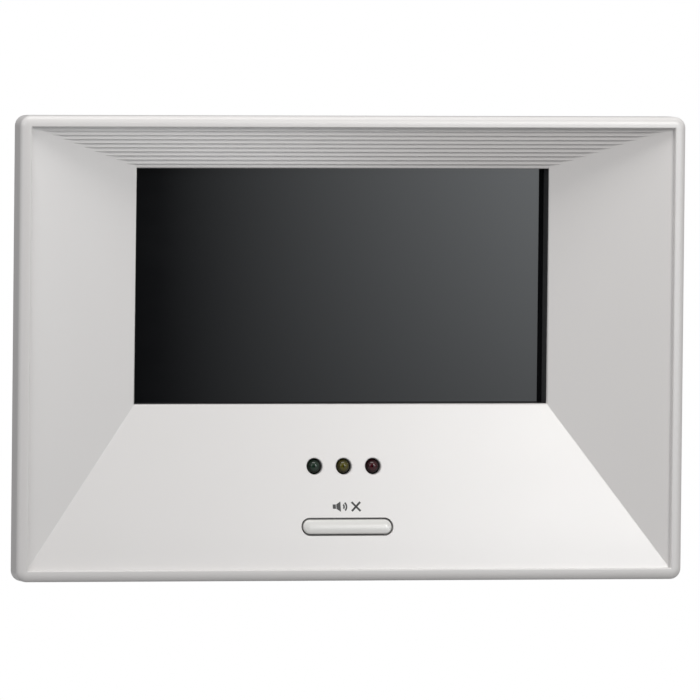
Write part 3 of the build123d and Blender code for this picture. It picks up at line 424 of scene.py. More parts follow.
def lamp_finish(node: str, colour: Colour, cup: Colour) -> Finish:
    """Dark tinted epoxy over a lamp's cup.

    Args:
        node: The lamp's CAD node, for its axis.
        colour: The epoxy's colour.
        cup: The colour over the cup.

    Returns:
        The finish.
    """
    axis = (middle_mm(node).x, LAMP_Z)
    return Finish(Pattern.EPOXY, colour, cup, (0.03, 0.05), 0.6, 0.0006, specular=0.38, axis=axis)


SHELL_TONES = ((0.707, 0.693, 0.684), (0.723, 0.709, 0.70))

FINISHES: dict[str, Finish] = {
    "frame_plastic": moulding(*SHELL_TONES, (0.29, 0.32), 1.6, 0.001),
    "panel_plastic": moulding(*SHELL_TONES, (0.27, 0.3), 1.6, 0.001),
    "button_plastic": moulding((0.725, 0.72, 0.70), (0.738, 0.733, 0.713), (0.2, 0.23), 1.2, 0.0008),
    "cover_plastic": eroded((0.63, 0.625, 0.605), (0.67, 0.665, 0.645), (0.42, 0.55), 0.55, 0.022),
    "dial_plastic": eroded((0.05, 0.05, 0.052), (0.075, 0.075, 0.078), (0.38, 0.5), 0.4, 0.012),
    "bracket_steel": Finish(
        Pattern.SPANGLE, (0.5, 0.51, 0.52), (0.66, 0.67, 0.68), (0.28, 0.46), 5.0, 0.006, metallic=1.0
    ),
    "sheet_steel": drawn_metal(grey(0.56), (0.68, 0.68, 0.67), (0.26, 0.38), 0.5, 0.004),
    "screw_steel": drawn_metal((0.48, 0.48, 0.47), (0.63, 0.62, 0.6), (0.22, 0.36), 0.35, 0.004),
    "tinned_wire": drawn_metal(grey(0.66), (0.78, 0.78, 0.77), (0.2, 0.3), 0.2, 0.002),
    "heat_sink_aluminium": drawn_metal((0.6, 0.61, 0.62), (0.72, 0.73, 0.74), (0.3, 0.42), 0.3, 0.006),
    "tinted_pane": Finish(
        Pattern.SMUDGE, (0.0035, 0.0037, 0.0045), (0.0055, 0.0057, 0.0065), (0.045, 0.075), 3.0, 0.0003
    ),
    "foam": Finish(Pattern.FOAM, (0.012, 0.012, 0.013), (0.035, 0.035, 0.037), (0.85, 0.95), 0.35, 0.05),
    "display_cell": Finish(
        Pattern.SMUDGE, (0.01, 0.011, 0.014), (0.016, 0.017, 0.021), (0.08, 0.14), 2.0, 0.0005
    ),
    "light_guide": moulding((0.78, 0.79, 0.8), (0.84, 0.85, 0.85), (0.3, 0.45), 1.5, 0.003),
    "flex_film": insulation((0.5, 0.22, 0.04), (0.62, 0.3, 0.07), (0.3, 0.4), 0.8, 0.01),
    "circuit_board": Finish(
        Pattern.TRACES, (0.008, 0.075, 0.03), (0.04, 0.17, 0.065), (0.32, 0.24), 3.4, 0.012
    ),
    "chip_black": filled((0.013, 0.013, 0.014), (0.03, 0.03, 0.031), (0.5, 0.62), 0.25, 0.008),
    "capacitor_can": moulding((0.015, 0.02, 0.06), (0.025, 0.032, 0.085), (0.25, 0.35), 0.6, 0.003),
    "ferrite": filled((0.045, 0.045, 0.048), (0.08, 0.08, 0.085), (0.55, 0.7), 0.3, 0.012),
    "socket_plastic": eroded((0.68, 0.66, 0.58), (0.74, 0.72, 0.64), (0.4, 0.5), 0.3, 0.006),
    "ribbon_insulation": insulation((0.45, 0.45, 0.46), (0.52, 0.52, 0.53), (0.35, 0.45), 1.2, 0.03),
    "wire_insulation": moulding((0.35, 0.02, 0.015), (0.42, 0.03, 0.02), (0.32, 0.42), 0.4, 0.003),
    "terminal_plastic": eroded((0.02, 0.16, 0.06), (0.03, 0.2, 0.08), (0.36, 0.48), 0.35, 0.008),
    "switch_plastic": eroded((0.018, 0.018, 0.02), (0.03, 0.03, 0.033), (0.4, 0.5), 0.3, 0.006),
    "speaker_paper": Finish(
        Pattern.FIBRE, (0.02, 0.019, 0.018), (0.05, 0.047, 0.043), (0.75, 0.9), 0.6, 0.04
    ),
    "microphone_can": drawn_metal(grey(0.6), grey(0.7), (0.3, 0.4), 0.25, 0.004),
    "boot_rubber": filled(grey(0.012), grey(0.022), (0.6, 0.75), 0.3, 0.01),
    "green_lamp": lamp_finish("led_green", (0.004, 0.012, 0.006), (0.01, 0.03, 0.016)),
    "yellow_lamp": lamp_finish("led_yellow", (0.03, 0.025, 0.0015), (0.085, 0.075, 0.004)),
    "red_lamp": lamp_finish("led_red", (0.016, 0.0006, 0.0018), (0.05, 0.0015, 0.005)),
    "print_ink": filled((0.006, 0.006, 0.007), (0.014, 0.014, 0.015), (0.4, 0.5), 0.2, 0.001),
}


class Wardrobe:
    """The finishes as materials, each made once."""

    def __init__(self) -> None:
        """Start with none."""
        self.made: dict[str, Material] = {}

    def get(self, slot: str) -> Material:
        """The material of a slot.

        Args:
            slot: The slot's name.

        Returns:
            The material, which is built the first time.
        """
        if slot not in self.made:
            self.made[slot] = FINISHES[slot].build(slot)
        return self.made[slot]

    def dress(self, piece: Object, slot: str) -> None:
        """Give an object the finish of a slot.

        Args:
            piece: The object.
            slot: The slot's name.
        """
        if not piece.material_slots:
            piece.data.materials.append(self.get(slot))
        for material_slot in piece.material_slots:
            material_slot.material = self.get(slot)


WARDROBE = Wardrobe()
BORE_FLOOR = 0.8
ROUNDING_STEPS = 3


# ---- mesh gathering
class Form:
    """Points and faces of one piece, gathered in millimetres. Points that coincide are one point."""

    def __init__(self, name: str) -> None:
        """Start an empty form.

        Args:
            name: The name of the object to be.
        """
        self.name = name
        self.points: list[Spot] = []
        self.index: dict[Spot, int] = {}
        self.faces: list[list[int]] = []
        self.soft: dict[tuple[int, int], float] = {}

    def at(self, x: float, y: float, z: float) -> int:
        """Number of the point at a place, which is added if it is new.

        Args:
            x: Its x.
            y: Its y.
            z: Its z.

        Returns:
            The number.
        """
        key = (round(x, 4), round(y, 4), round(z, 4))
        if key not in self.index:
            self.index[key] = len(self.points)
            self.points.append((x, y, z))
        return self.index[key]

    def run(self, spots: list[Spot]) -> list[int]:
        """Numbers of a row of points."""
        return [self.at(*spot) for spot in spots]

    def face(self, numbers: list[int]) -> None:
        """Add a face, without repeated neighbours.

        Args:
            numbers: Its points, in order.
        """
        kept = [n for i, n in enumerate(numbers) if n != numbers[i - 1]]
        if len(kept) > 2:
            self.faces.append(kept)

    def bridge(self, first: list[int], second: list[int], closed: bool = True) -> None:
        """Join two rows of points with four-sided faces.

        Args:
            first: One row.
            second: The other row, as long.
            closed: Whether the rows are rings.
        """
        for i in range(0 if closed else 1, len(first)):
            self.face([first[i - 1], first[i], second[i], second[i - 1]])

    def stack(self, rings: list[list[Spot]], ends: bool = True) -> list[list[int]]:
        """Skin a row of rings.

        Args:
            rings: The rings, each as long as the next.
            ends: Whether the first and last are closed with a face.

        Returns:
            The numbers of each ring's points.
        """
        rows = [self.run(ring) for ring in rings]
        for first, second in zip(rows, rows[1:]):
            self.bridge(first, second)
        if ends:
            self.face(rows[0])
            self.face(rows[-1])
        return rows

    def round_edges(self, numbers: list[int], size: float, closed: bool = False) -> None:
        """Mark a row of edges to be rounded.

        Args:
            numbers: The points along it.
            size: Width of the rounding, in millimetres.
            closed: Whether the last point joins the first.
        """
        for i in range(0 if closed else 1, len(numbers)):
            pair = sorted((numbers[i - 1], numbers[i]))
            self.soft[(pair[0], pair[1])] = size

    def peg(self, x: float, z: float, front: float, back: float, radius: float, bore: float = 0.0) -> None:
        """Add a pin or a bored boss along Y.

        Args:
            x: X of its axis.
            z: Z of its axis.
            front: Y of its front end.
            back: Y of its back end.
            radius: Its radius.
            bore: Radius of the hole in its back end, or 0.
        """
        ends = [circle(x, z, radius, y) for y in (front, back)]
        if not bore:
            self.stack(ends)
            return
        floor = front + BORE_FLOOR
        hole = [circle(x, z, bore, y) for y in (back, floor)]
        rows = self.stack(ends + hole, ends=False)
        self.face(rows[0])
        self.face(rows[-1])

    def make(self, slot: str, body: str, sharp: float = 35.0, round_to: float = 0.0) -> Object:
        """Make the object.

        Args:
            slot: The finish.
            body: The body that it rides on.
            sharp: Angle between faces, in degrees, from which an edge is sharp.
            round_to: Largest rounding that was marked, or 0 if there is none.

        Returns:
            The object.
        """
        mesh = bpy.data.meshes.new(self.name)
        mesh.from_pydata([Vector(point) * MM for point in self.points], [], self.faces)
        work = bmesh.new()
        work.from_mesh(mesh)
        bmesh.ops.recalc_face_normals(work, faces=work.faces)
        work.to_mesh(mesh)
        work.free()
        mesh.validate()
        piece = add_object(self.name, mesh)
        mesh.shade_smooth()
        if round_to:
            weights = mesh.attributes.new("bevel_weight_edge", "FLOAT", "EDGE")
            for edge in mesh.edges:
                first, second = sorted(edge.vertices)
                weights.data[edge.index].value = self.soft.get((first, second), 0.0) / round_to
            bevel = piece.modifiers.new("rounded_edges", "BEVEL")
            bevel.limit_method = "WEIGHT"
            bevel.width = round_to * MM
            bevel.segments = ROUNDING_STEPS
            bevel.use_clamp_overlap = False
        mesh.set_sharp_from_angle(angle=math.radians(sharp))
        normals = piece.modifiers.new("even_normals", "WEIGHTED_NORMAL")
        normals.keep_sharp = True
        WARDROBE.dress(piece, slot)
        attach(piece, body)
        return piece


def arc(centre: Pair, radius: float, start: float, end: float, count: int) -> list[Pair]:
    """Points along an arc.

    Args:
        centre: Its centre.
        radius: Its radius.
        start: First angle, in degrees.
        end: Last angle, in degrees.
        count: Number of steps.

    Returns:
        The points, both ends included.
    """
    angles = [math.radians(start + (end - start) * i / count) for i in range(count + 1)]
    return [(centre[0] + radius * math.cos(a), centre[1] + radius * math.sin(a)) for a in angles]


def circle(x: float, z: float, radius: float, y: float, count: int = 32) -> list[Spot]:
    """Ring of points round an axis along Y."""
    return [(px, y, pz) for px, pz in arc((x, z), radius, 0, 360 * (count - 1) / count, count - 1)]


def round_box(half_x: float, half_z: float, radius: float, steps: int = 8) -> list[Pair]:
    """Outline of a rectangle with round corners, as (x, z).

    Args:
        half_x: Half its width.
        half_z: Half its height.
        radius: Radius of its corners.
        steps: Steps round each corner.

    Returns:
        The points, counter-clockwise from the right side.
    """
    outline: list[Pair] = []
    for quarter, (sx, sz) in enumerate(((1, 1), (-1, 1), (-1, -1), (1, -1))):
        centre = (sx * (half_x - radius), sz * (half_z - radius))
        outline += arc(centre, radius, 90 * quarter, 90 * quarter + 90, steps)
    return outline


# ---- casing
@dataclass
class FrontFrame:
    """Rim and skirt: one profile taken round the face."""

    rim_width: float = 4.1
    crown_width: float = 3.1
    crown_depth: float = 1.9
    lip_radius: float = 0.4
    corner: float = 4.0
    inner_corner: float = 0.5
    wall: float = 2.4
    proud: float = 2.0
    ease: float = 0.3
    low: Vector = field(default_factory=lambda: box_mm("front_frame")[0])
    high: Vector = field(default_factory=lambda: box_mm("front_frame")[1])

    def profile(self) -> list[Pair]:
        """Section through the rim and skirt.

        Returns:
            Points (inset from the outside, y), all the way round.
        """
        front, back = self.low.y, self.high.y
        quarter = arc((1.0, 1.0), 1.0, 180, 270, 12)
        outer = [(self.crown_width * across, front + self.crown_depth * down) for across, down in quarter]
        lip_x = self.rim_width - self.lip_radius
        lip = arc((lip_x, front + self.lip_radius), self.lip_radius, 270, 360, 5)
        under = front + self.proud
        inside, brink = self.wall - self.ease, back - self.ease
        tail = [(self.rim_width, under), (self.wall, under), (self.wall, brink), (inside, back)]
        return [(self.ease, back), (0.0, brink)] + outer + lip + tail

    def build(self) -> None:
        """Build the frame and let it stand for its CAD node."""
        form = Form("front_frame_moulding")
        rings = []
        for inset, y in self.profile():
            radius = max(self.corner - inset, self.inner_corner)
            outline = round_box(self.high.x - inset, self.high.z - inset, radius)
            rings.append([(x, y, z) for x, z in outline])
        form.stack(rings + rings[:1], ends=False)
        piece = form.make("frame_plastic", "housing")
        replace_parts(piece, "front_frame")


@dataclass(frozen=True)
class Slope:
    """Flat face that narrows from its lower edge to its upper edge."""

    low: Spot
    high: Spot

    def share(self, z: float) -> float:
        """Share of the way up at height z."""
        return (z - self.low[2]) / (self.high[2] - self.low[2])

    def edge(self, z: float, side: int = 1) -> Spot:
        """Point of an edge.

        Args:
            z: Its height.
            side: Left (-1) or right (1).

        Returns:
            The point.
        """
        share = self.share(z)
        x = self.low[0] + (self.high[0] - self.low[0]) * share
        return (side * x, self.y(z), z)

    def y(self, z: float) -> float:
        """Y of the face at height z."""
        return self.low[1] + (self.high[1] - self.low[1]) * self.share(z)


@dataclass(frozen=True)
class Hole:
    """Round or round-ended hole along Y."""

    x: float
    z: float
    half_x: float
    radius: float

    def half(self, upper: bool) -> list[Pair]:
        """Upper or lower half of its outline, from left to right.

        Args:
            upper: Which half.

        Returns:
            The points (x, z).
        """
        sign = 1 if upper else -1
        reach = self.half_x - self.radius
        left = arc((self.x - reach, self.z), self.radius, 180, 180 - sign * 90, 10)
        right = arc((self.x + reach, self.z), self.radius, sign * 90, 0, 10)
        return left + right

    def ring(self, face: Slope) -> list[Spot]:
        """Its whole outline on a sloping face."""
        outline = self.half(True)[:-1] + self.half(False)[:0:-1]
        return [(x, face.y(z), z) for x, z in outline]


@dataclass(frozen=True)
class Boss:
    """Bosses for a group of screws: the radius of the heads, the boss's own sizes, and Y of its open end."""

    screws: str
    head: float
    radius: float
    bore: float
    back: float


BOSSES = (
    Boss("case_screws", 2.78, 3.6, 1.52, -20.8),
    Boss("lcd_screws", 2.31, 3.2, 1.27, box_mm("lcd_case")[1].y),
    Boss("button_board_screws", 2.31, 2.8, 1.27, box_mm("button_board")[0].y),
)


@dataclass
class FrontPanel:
    """Sloping insert: plain sides and lower face, steps above the window, and the screen's well."""

    rim_width: float = 4.1
    ledge: float = 1.8
    well_depth: float = 7.0
    pane_gap: float = 0.35
    step_band: float = 15.35
    step_count: int = 10
    step_round: float = 0.25
    step_fillet: float = 0.12
    flange: float = 3.0
    flange_corner: float = 1.0
    slope_margin: float = 0.6
    back_offset: float = 1.5
    pocket_gap: float = 0.2
    pocket_wall: float = 1.2
    lamp_hole: float = 2.95
    button_gap: float = 0.4
    button_flange: float = 1.2
    mitre_round: float = 0.2
    window_round: float = 0.55
    lamp_round: float = 0.4
    button_round: float = 0.12
    liner_start: float = 0.7
    liner_film: float = 0.12
    liner_gap: float = 0.02
    boss_bite: float = 1.2

    def __post_init__(self) -> None:
        """Take the places from the CAD boxes."""
        self.form = Form("front_panel_moulding")
        frame_high = box_mm("front_frame")[1]
        low, high = box_mm("front_panel")
        pane_low, pane_high = box_mm("window_lens")
        cap_low, cap_high = box_mm("mute_button")
        self.outer_x = high.x
        self.outer_z = high.z
        self.edge_y = low.y
        self.rim_x = frame_high.x - self.rim_width
        self.rim_z = frame_high.z - self.rim_width
        self.pane_back = pane_high.y
        self.well_floor = pane_low.y - self.pane_gap
        self.window_y = pane_low.y - self.well_depth
        self.window = (pane_high.x - self.ledge, pane_low.z + self.ledge, pane_high.z - self.ledge)
        self.well = self.grown(self.ledge + self.pocket_gap + self.pocket_wall)
        wider = self.button_gap - self.button_flange
        cap_half = (cap_high.z - cap_low.z) / 2
        self.button = Hole(0.0, (cap_low.z + cap_high.z) / 2, cap_high.x + wider, cap_half + wider)
        lamp_xs = [middle_mm(f"led_{colour}").x for colour in LAMP_COLOURS]
        self.lamps = [Hole(x, LAMP_Z, self.lamp_hole, self.lamp_hole) for x in lamp_xs]
        window_x, window_low = self.window[:2]
        self.front = Slope((self.rim_x, self.edge_y, -self.rim_z), (window_x, self.window_y, window_low))
        inset = self.flange_corner + self.slope_margin
        self.back_y = self.edge_y + self.flange
        self.slope_y = self.window_y + self.back_offset
        self.slope_x = self.outer_x - inset
        self.slope_z = self.outer_z - inset
        well_x, well_low = self.well[:2]
        self.back = Slope((self.slope_x, self.back_y, -self.slope_z), (well_x, self.slope_y, well_low))

    def grown(self, margin: float) -> Spot:
        """The window's half width, foot and top, moved outward."""
        half_x, low, high = self.window
        return (half_x + margin, low - margin, high + margin)

    def rectangle(self, sizes: Spot, y: float) -> list[Spot]:
        """Corners, from the lower right, of a half width, a foot and a top at depth y."""
        half_x, low, high = sizes
        return [(half_x, y, low), (half_x, y, high), (-half_x, y, high), (-half_x, y, low)]

    def stairs(self) -> list[Pair]:
        """Section of the stepped band as (y, z), from the rim down to the window.

        Returns:
            The points, with each step's front edge and foot rounded.
        """
        tread = self.step_band / self.step_count
        riser = (self.window_y - self.edge_y) / self.step_count
        foot, nose = self.step_fillet, self.step_round
        section: list[Pair] = [(self.edge_y, self.rim_z)]
        for i in range(self.step_count):
            face = self.edge_y + (i + 1) * riser
            top = self.rim_z - i * tread
            section += arc((face - foot, top - foot), foot, 90, 0, 2)
            if i < self.step_count - 1:
                section += arc((face + nose, top - tread + nose), nose, 180, 270, 3)
        section.append((self.window_y, self.window[2]))
        return section

    def side_x(self, y: float) -> float:
        """X of the right side face at depth y."""
        share = (y - self.edge_y) / (self.window_y - self.edge_y)
        return self.rim_x + (self.window[0] - self.rim_x) * share

    def row(self, face: Slope, z: float, holes: list[Hole], upper: bool) -> list[Spot]:
        """Points across the lower face, round one half of each hole.

        Args:
            face: The front or the back of it.
            z: The row's height.
            holes: The holes in the row.
            upper: Which half.

        Returns:
            The points, from left to right.
        """
        round_holes = [(x, face.y(hz), hz) for hole in holes for x, hz in hole.half(upper)]
        return [face.edge(z, -1)] + round_holes + [face.edge(z, 1)]

    def lower_face(self, face: Slope) -> list[list[int]]:
        """Add the lower face, split at the rows of holes.

        Args:
            face: The front or the back of it.

        Returns:
            The rings of the holes.
        """
        rows = [(face.low[2], []), (self.button.z, [self.button]), (LAMP_Z, self.lamps), (face.high[2], [])]
        for (z0, below), (z1, above) in zip(rows, rows[1:]):
            upper = self.row(face, z1, above, False)
            self.form.face(self.form.run(self.row(face, z0, below, True) + upper[::-1]))
        return [self.form.run(hole.ring(face)) for hole in [self.button] + self.lamps]

    def mitre(self, face: Slope, side: int) -> list[int]:
        """Points of a lower corner edge, from its foot to the window."""
        heights = (face.low[2], self.button.z, LAMP_Z, face.high[2])
        return self.form.run([face.edge(z, side) for z in heights])

    def bowl(self) -> list[list[int]]:
        """Add everything that faces the room, and the well's walls.

        Returns:
            The rings of the holes.
        """
        form = self.form
        section = self.stairs()
        ends = {side: form.run([(side * self.side_x(y), y, z) for y, z in section]) for side in (-1, 1)}
        form.bridge(ends[-1], ends[1], closed=False)
        holes = self.lower_face(self.front)
        for ring, size in zip(holes, [self.button_round] + [self.lamp_round] * len(self.lamps)):
            form.round_edges(ring, size, closed=True)
        for side in (-1, 1):
            mitre = self.mitre(self.front, side)
            form.face(mitre + ends[side][::-1])
            form.round_edges(mitre, self.mitre_round)
        pocket = self.grown(self.ledge + self.pocket_gap)
        walls = (
            (self.window, self.window_y), (self.window, self.well_floor), (pocket, self.well_floor),
            (pocket, self.pane_back), (self.well, self.pane_back), (self.well, self.slope_y),
        )
        rings = form.stack([self.rectangle(*wall) for wall in walls], ends=False)
        form.round_edges(rings[0], self.window_round, closed=True)
        return holes

    def flange_face(self, inner: list[int], y: float) -> list[int]:
        """Add a flat ring from a rectangle out to the flange's edge.

        Args:
            inner: The rectangle's corners.
            y: Y of the ring.

        Returns:
            The flange's outline.
        """
        cut = self.flange_corner
        outline = []
        for sx, sz in ((1, -1), (1, 1), (-1, 1), (-1, -1)):
            on_end = (sx * (self.outer_x - cut), y, sz * self.outer_z)
            on_side = (sx * self.outer_x, y, sz * (self.outer_z - cut))
            outline += [on_end, on_side] if sx * sz < 0 else [on_side, on_end]
        numbers = self.form.run(outline)
        for k in range(4):
            self.form.face([inner[k], numbers[2 * k], numbers[2 * k + 1]])
            after = (2 * k + 2) % 8
            self.form.face([inner[k], numbers[2 * k + 1], numbers[after], inner[(k + 1) % 4]])
        return numbers

    def shell(self) -> list[list[int]]:
        """Add the flange and the sloping back.

        Returns:
            The rings of the holes in the back.
        """
        form = self.form
        mouth = form.run(self.rectangle((self.rim_x, -self.rim_z, self.rim_z), self.edge_y))
        front = self.flange_face(mouth, self.edge_y)
        base = form.run(self.rectangle((self.slope_x, -self.slope_z, self.slope_z), self.back_y))
        form.bridge(front, self.flange_face(base, self.back_y))
        root = form.run(self.rectangle(self.well, self.slope_y))
        form.face([base[1], base[2], root[2], root[1]])
        holes = self.lower_face(self.back)
        for side, corner in ((1, 1), (-1, 2)):
            form.face(self.mitre(self.back, side) + [root[corner], base[corner]])
        return holes

    def boss_root(self, x: float, z: float) -> float:
        """Y where a boss at (x, z) starts, inside the wall of the sloping face."""
        share = (self.slope_x - abs(x)) / (self.slope_x - self.well[0])
        return min(self.back_y + (self.slope_y - self.back_y) * share, self.back.y(z)) - self.boss_bite

    def bosses(self) -> Form:
        """Bosses that the case, display and button board screws enter.

        Returns:
            The form that holds them.
        """
        form = Form("front_panel_bosses")
        for boss in BOSSES:
            low, high = box_mm(boss.screws)
            for x in (low.x + boss.head, high.x - boss.head):
                for z in (low.z + boss.head, high.z - boss.head):
                    form.peg(x, z, self.boss_root(x, z), boss.back, boss.radius, boss.bore)
        return form

    def liner(self) -> None:
        """Line the screen's well with a thin black film, from just behind its edge to the pane."""
        form = Form("screen_liner")
        front, back = self.window_y + self.liner_start, self.well_floor
        outer, inner = self.grown(-self.liner_gap), self.grown(-self.liner_gap - self.liner_film)
        loop = ((outer, front), (outer, back), (inner, back), (inner, front), (outer, front))
        form.stack([self.rectangle(*ring) for ring in loop], ends=False)
        form.make("foam", "housing")

    def build(self) -> None:
        """Build the panel and let it stand for its CAD node."""
        for front, back in zip(self.bowl(), self.shell()):
            self.form.bridge(front, back)
        widest = max(self.mitre_round, self.window_round, self.lamp_round, self.button_round)
        piece = self.form.make("panel_plastic", "housing", round_to=widest)
        self.liner()
        posts = self.bosses().make("panel_plastic", "housing")
        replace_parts(piece, "front_panel")
        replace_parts(posts, "front_panel")


# ---- button, lamps and marking
@dataclass
class MuteButton:
    """Long cap with round ends and a crowned face that follows the slope."""

    panel: FrontPanel
    gap: float = 0.62
    proud: float = 0.55
    rounding: float = 0.95
    crown: float = 0.24
    crown_steps: int = 10
    end_steps: int = 12
    spine: float = 0.15
    flange_thickness: float = 1.2
    stem_length: float = 0.5
    stem_radius: float = 1.7
    guide_x: float = 13.0
    guide_radius: float = 1.0
    guide_past: float = 0.6
    root: float = 0.2

    def outline(self, margin: float) -> list[Pair]:
        """The hole's outline, moved outward."""
        hole, radius = self.panel.button, self.panel.button.radius + margin
        return [(x, hole.z + z) for x, z in round_box(hole.half_x + margin, radius, radius, self.end_steps)]

    def ring(self, inset: float, rise: float) -> list[Spot]:
        """One ring of the crowned face.

        Args:
            inset: How far inside the cap's outline it runs.
            rise: How far it stands above the cap's edge.

        Returns:
            The points.
        """
        slope = self.panel.front
        outline = self.outline(-self.gap - inset)
        return [(x, slope.y(z) - self.proud - rise, z) for x, z in outline]

    def build(self) -> None:
        """Build the cap, its flange, stem and guides."""
        form = Form("mute_button_cap")
        hole = self.panel.button
        plunger_y = box_mm("switch_plunger")[0].y
        flange_back = plunger_y - self.stem_length
        flange_front = flange_back - self.flange_thickness
        reach = hole.radius - self.gap - self.spine - self.rounding
        shares = [1 - i / self.crown_steps for i in range(self.crown_steps, 0, -1)]
        rings = [self.ring(self.rounding + reach * (1 - s), self.crown * (1 - s**2)) for s in shares]
        for px, py in arc((self.rounding, 0), self.rounding, 90, 180, 6):
            rings.append(self.ring(px, py - self.rounding))
        wider = self.panel.button_flange - self.gap
        for y, extra in ((flange_front, -self.gap), (flange_front, wider), (flange_back, wider)):
            rings.append([(x, y, z) for x, z in self.outline(extra)])
        form.stack(rings)
        stems = Form("mute_button_stem")
        start = flange_back - self.root
        stems.peg(0.0, hole.z, start, plunger_y, self.stem_radius)
        guide_back = box_mm("button_board")[1].y + self.guide_past
        for side in (-1, 1):
            stems.peg(side * self.guide_x, hole.z, start, guide_back, self.guide_radius)
        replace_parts(form.make("button_plastic", "mute_button", sharp=50.0), "mute_button")
        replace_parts(stems.make("button_plastic", "mute_button"), "mute_button")


@dataclass
class Lamp:
    """Round-topped lamp turned about its axis."""

    node: str
    slot: str
    radius: float = 2.5
    flange: float = 2.9
    flange_height: float = 1.0
    ease: float = 0.15
    tip: float = 0.02

    def build(self) -> None:
        """Build the lamp."""
        low, high = box_mm(self.node)
        x = (low.x + high.x) / 2
        section = [(-px, py) for px, py in arc((0.0, low.y + self.radius), self.radius, 270, 180, 14)]
        base = high.y - self.flange_height
        brink = self.flange - self.ease
        section += [(self.radius, base), (brink, base), (self.flange, base + self.ease)]
        section.append((self.flange, high.y))
        form = Form(f"{self.node}_body")
        form.stack([circle(x, LAMP_Z, max(r, self.tip), y, 48) for r, y in section])
        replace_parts(form.make(self.slot, "housing", sharp=50.0), self.node)


@dataclass
class Marking:
    """Printed sign above the button: a loudspeaker and a cross."""

    panel: FrontPanel
    height: float = 3.8
    rise: float = 7.3
    film: float = 0.02
    stroke: float = 0.62
    left: float = -5.2
    body_width: float = 1.2
    body_share: float = 0.42
    horn: Pair = (1.35, 3.0)
    wave_x: float = 3.3
    wave_sizes: Pair = (1.0, 1.9)
    wave_angle: float = 48.0
    cross_x: float = 3.6
    cross_share: float = 0.86
    cross_stroke: float = 1.2

    def prism(self, form: Form, outline: list[Pair]) -> None:
        """Add a flat printed shape to the lower face.

        Args:
            form: The form to add to.
            outline: Its corners (x, z) from the sign's centre.
        """
        z0 = self.panel.button.z + self.rise
        slope = self.panel.front
        form.stack([[(x, slope.y(z0 + z) - film, z0 + z) for x, z in outline] for film in (self.film, 0.0)])

    def build(self) -> None:
        """Build the sign."""
        form = Form("mute_sign")
        half = self.height / 2
        body = half * self.body_share
        right = self.left + self.body_width
        throat, mouth = (self.left + x for x in self.horn)
        self.prism(form, [(self.left, -body), (right, -body), (right, body), (self.left, body)])
        self.prism(form, [(throat, -body), (mouth, -half), (mouth, half), (throat, body)])
        centre = (self.left + self.wave_x, 0)
        swing = self.wave_angle
        for size in self.wave_sizes:
            span = arc(centre, size + self.stroke / 2, -swing, swing, 10)
            self.prism(form, span + arc(centre, size - self.stroke / 2, swing, -swing, 10))
        reach = half * self.cross_share
        width = self.stroke / 2 / math.sqrt(2) * self.cross_stroke
        far, near = reach + width, reach - width
        for sign in (-1, 1):
            bar = [(-far, -sign * near), (-near, -sign * far), (far, sign * near), (near, sign * far)]
            self.prism(form, [(self.cross_x + x, z) for x, z in bar])
        form.make("print_ink", "housing")


# ---- carried-over nodes
def dress_nodes() -> None:
    """Give every CAD node that stays the finish of its slot."""
    slots = {part["node"]: part["material_slot"] for part in frame["record"]["subparts"]}
    for node, piece in frame["nodes"].items():
        WARDROBE.dress(piece, slots[node])
        LOG.info("dressed %s in %s", node, slots[node])


# ---- studio
@dataclass(frozen=True)
class Softbox:
    """Soft rectangular light: where it stands, what it faces and its size in metres, its power and colour."""

    name: str
    place: Spot
    target: Spot
    size: Pair
    watts: float
    colour: Colour

    def build(self) -> None:
        """Add the light."""
        data = bpy.data.lights.new(self.name, "AREA")
        data.shape = "RECTANGLE"
        data.size, data.size_y = self.size
        data.energy = self.watts
        data.color = self.colour
        light = add_object(self.name, data)
        aim = Vector(self.target) - Vector(self.place)
        light.rotation_euler = aim.to_track_quat("-Z", "Y").to_euler()
        light.location = self.place
        light.visible_camera = False


SOFTBOXES = (
    Softbox("key_light", (0.37, -0.80, 0.38), (0.04, 0.0, -0.03), (0.16, 0.26), 2.3, (1.0, 0.985, 0.96)),
    Softbox("fill_light", (-0.9, -0.9, 0.35), (0.0, 0.0, 0.0), (0.7, 0.7), 2.9, (0.985, 0.985, 1.0)),
    Softbox("top_light", (-0.06, -0.32, 0.72), (-0.02, 0.0, 0.0), (0.6, 0.3), 2.5, (1.0, 0.99, 0.975)),
)


def stage_sheet(name: str, corners: list[Spot], material: Material) -> Object:
    """Add a flat sheet that belongs to the studio.

    Args:
        name: Its name.
        corners: Its four corners, in metres.
        material: Its material.

    Returns:
        The sheet.
    """
    mesh = bpy.data.meshes.new(name)
    mesh.from_pydata(corners, [], [(0, 1, 2, 3)])
    mesh.materials.append(material)
    sheet = add_object(name, mesh)
    sheet.visible_diffuse = False
    return sheet


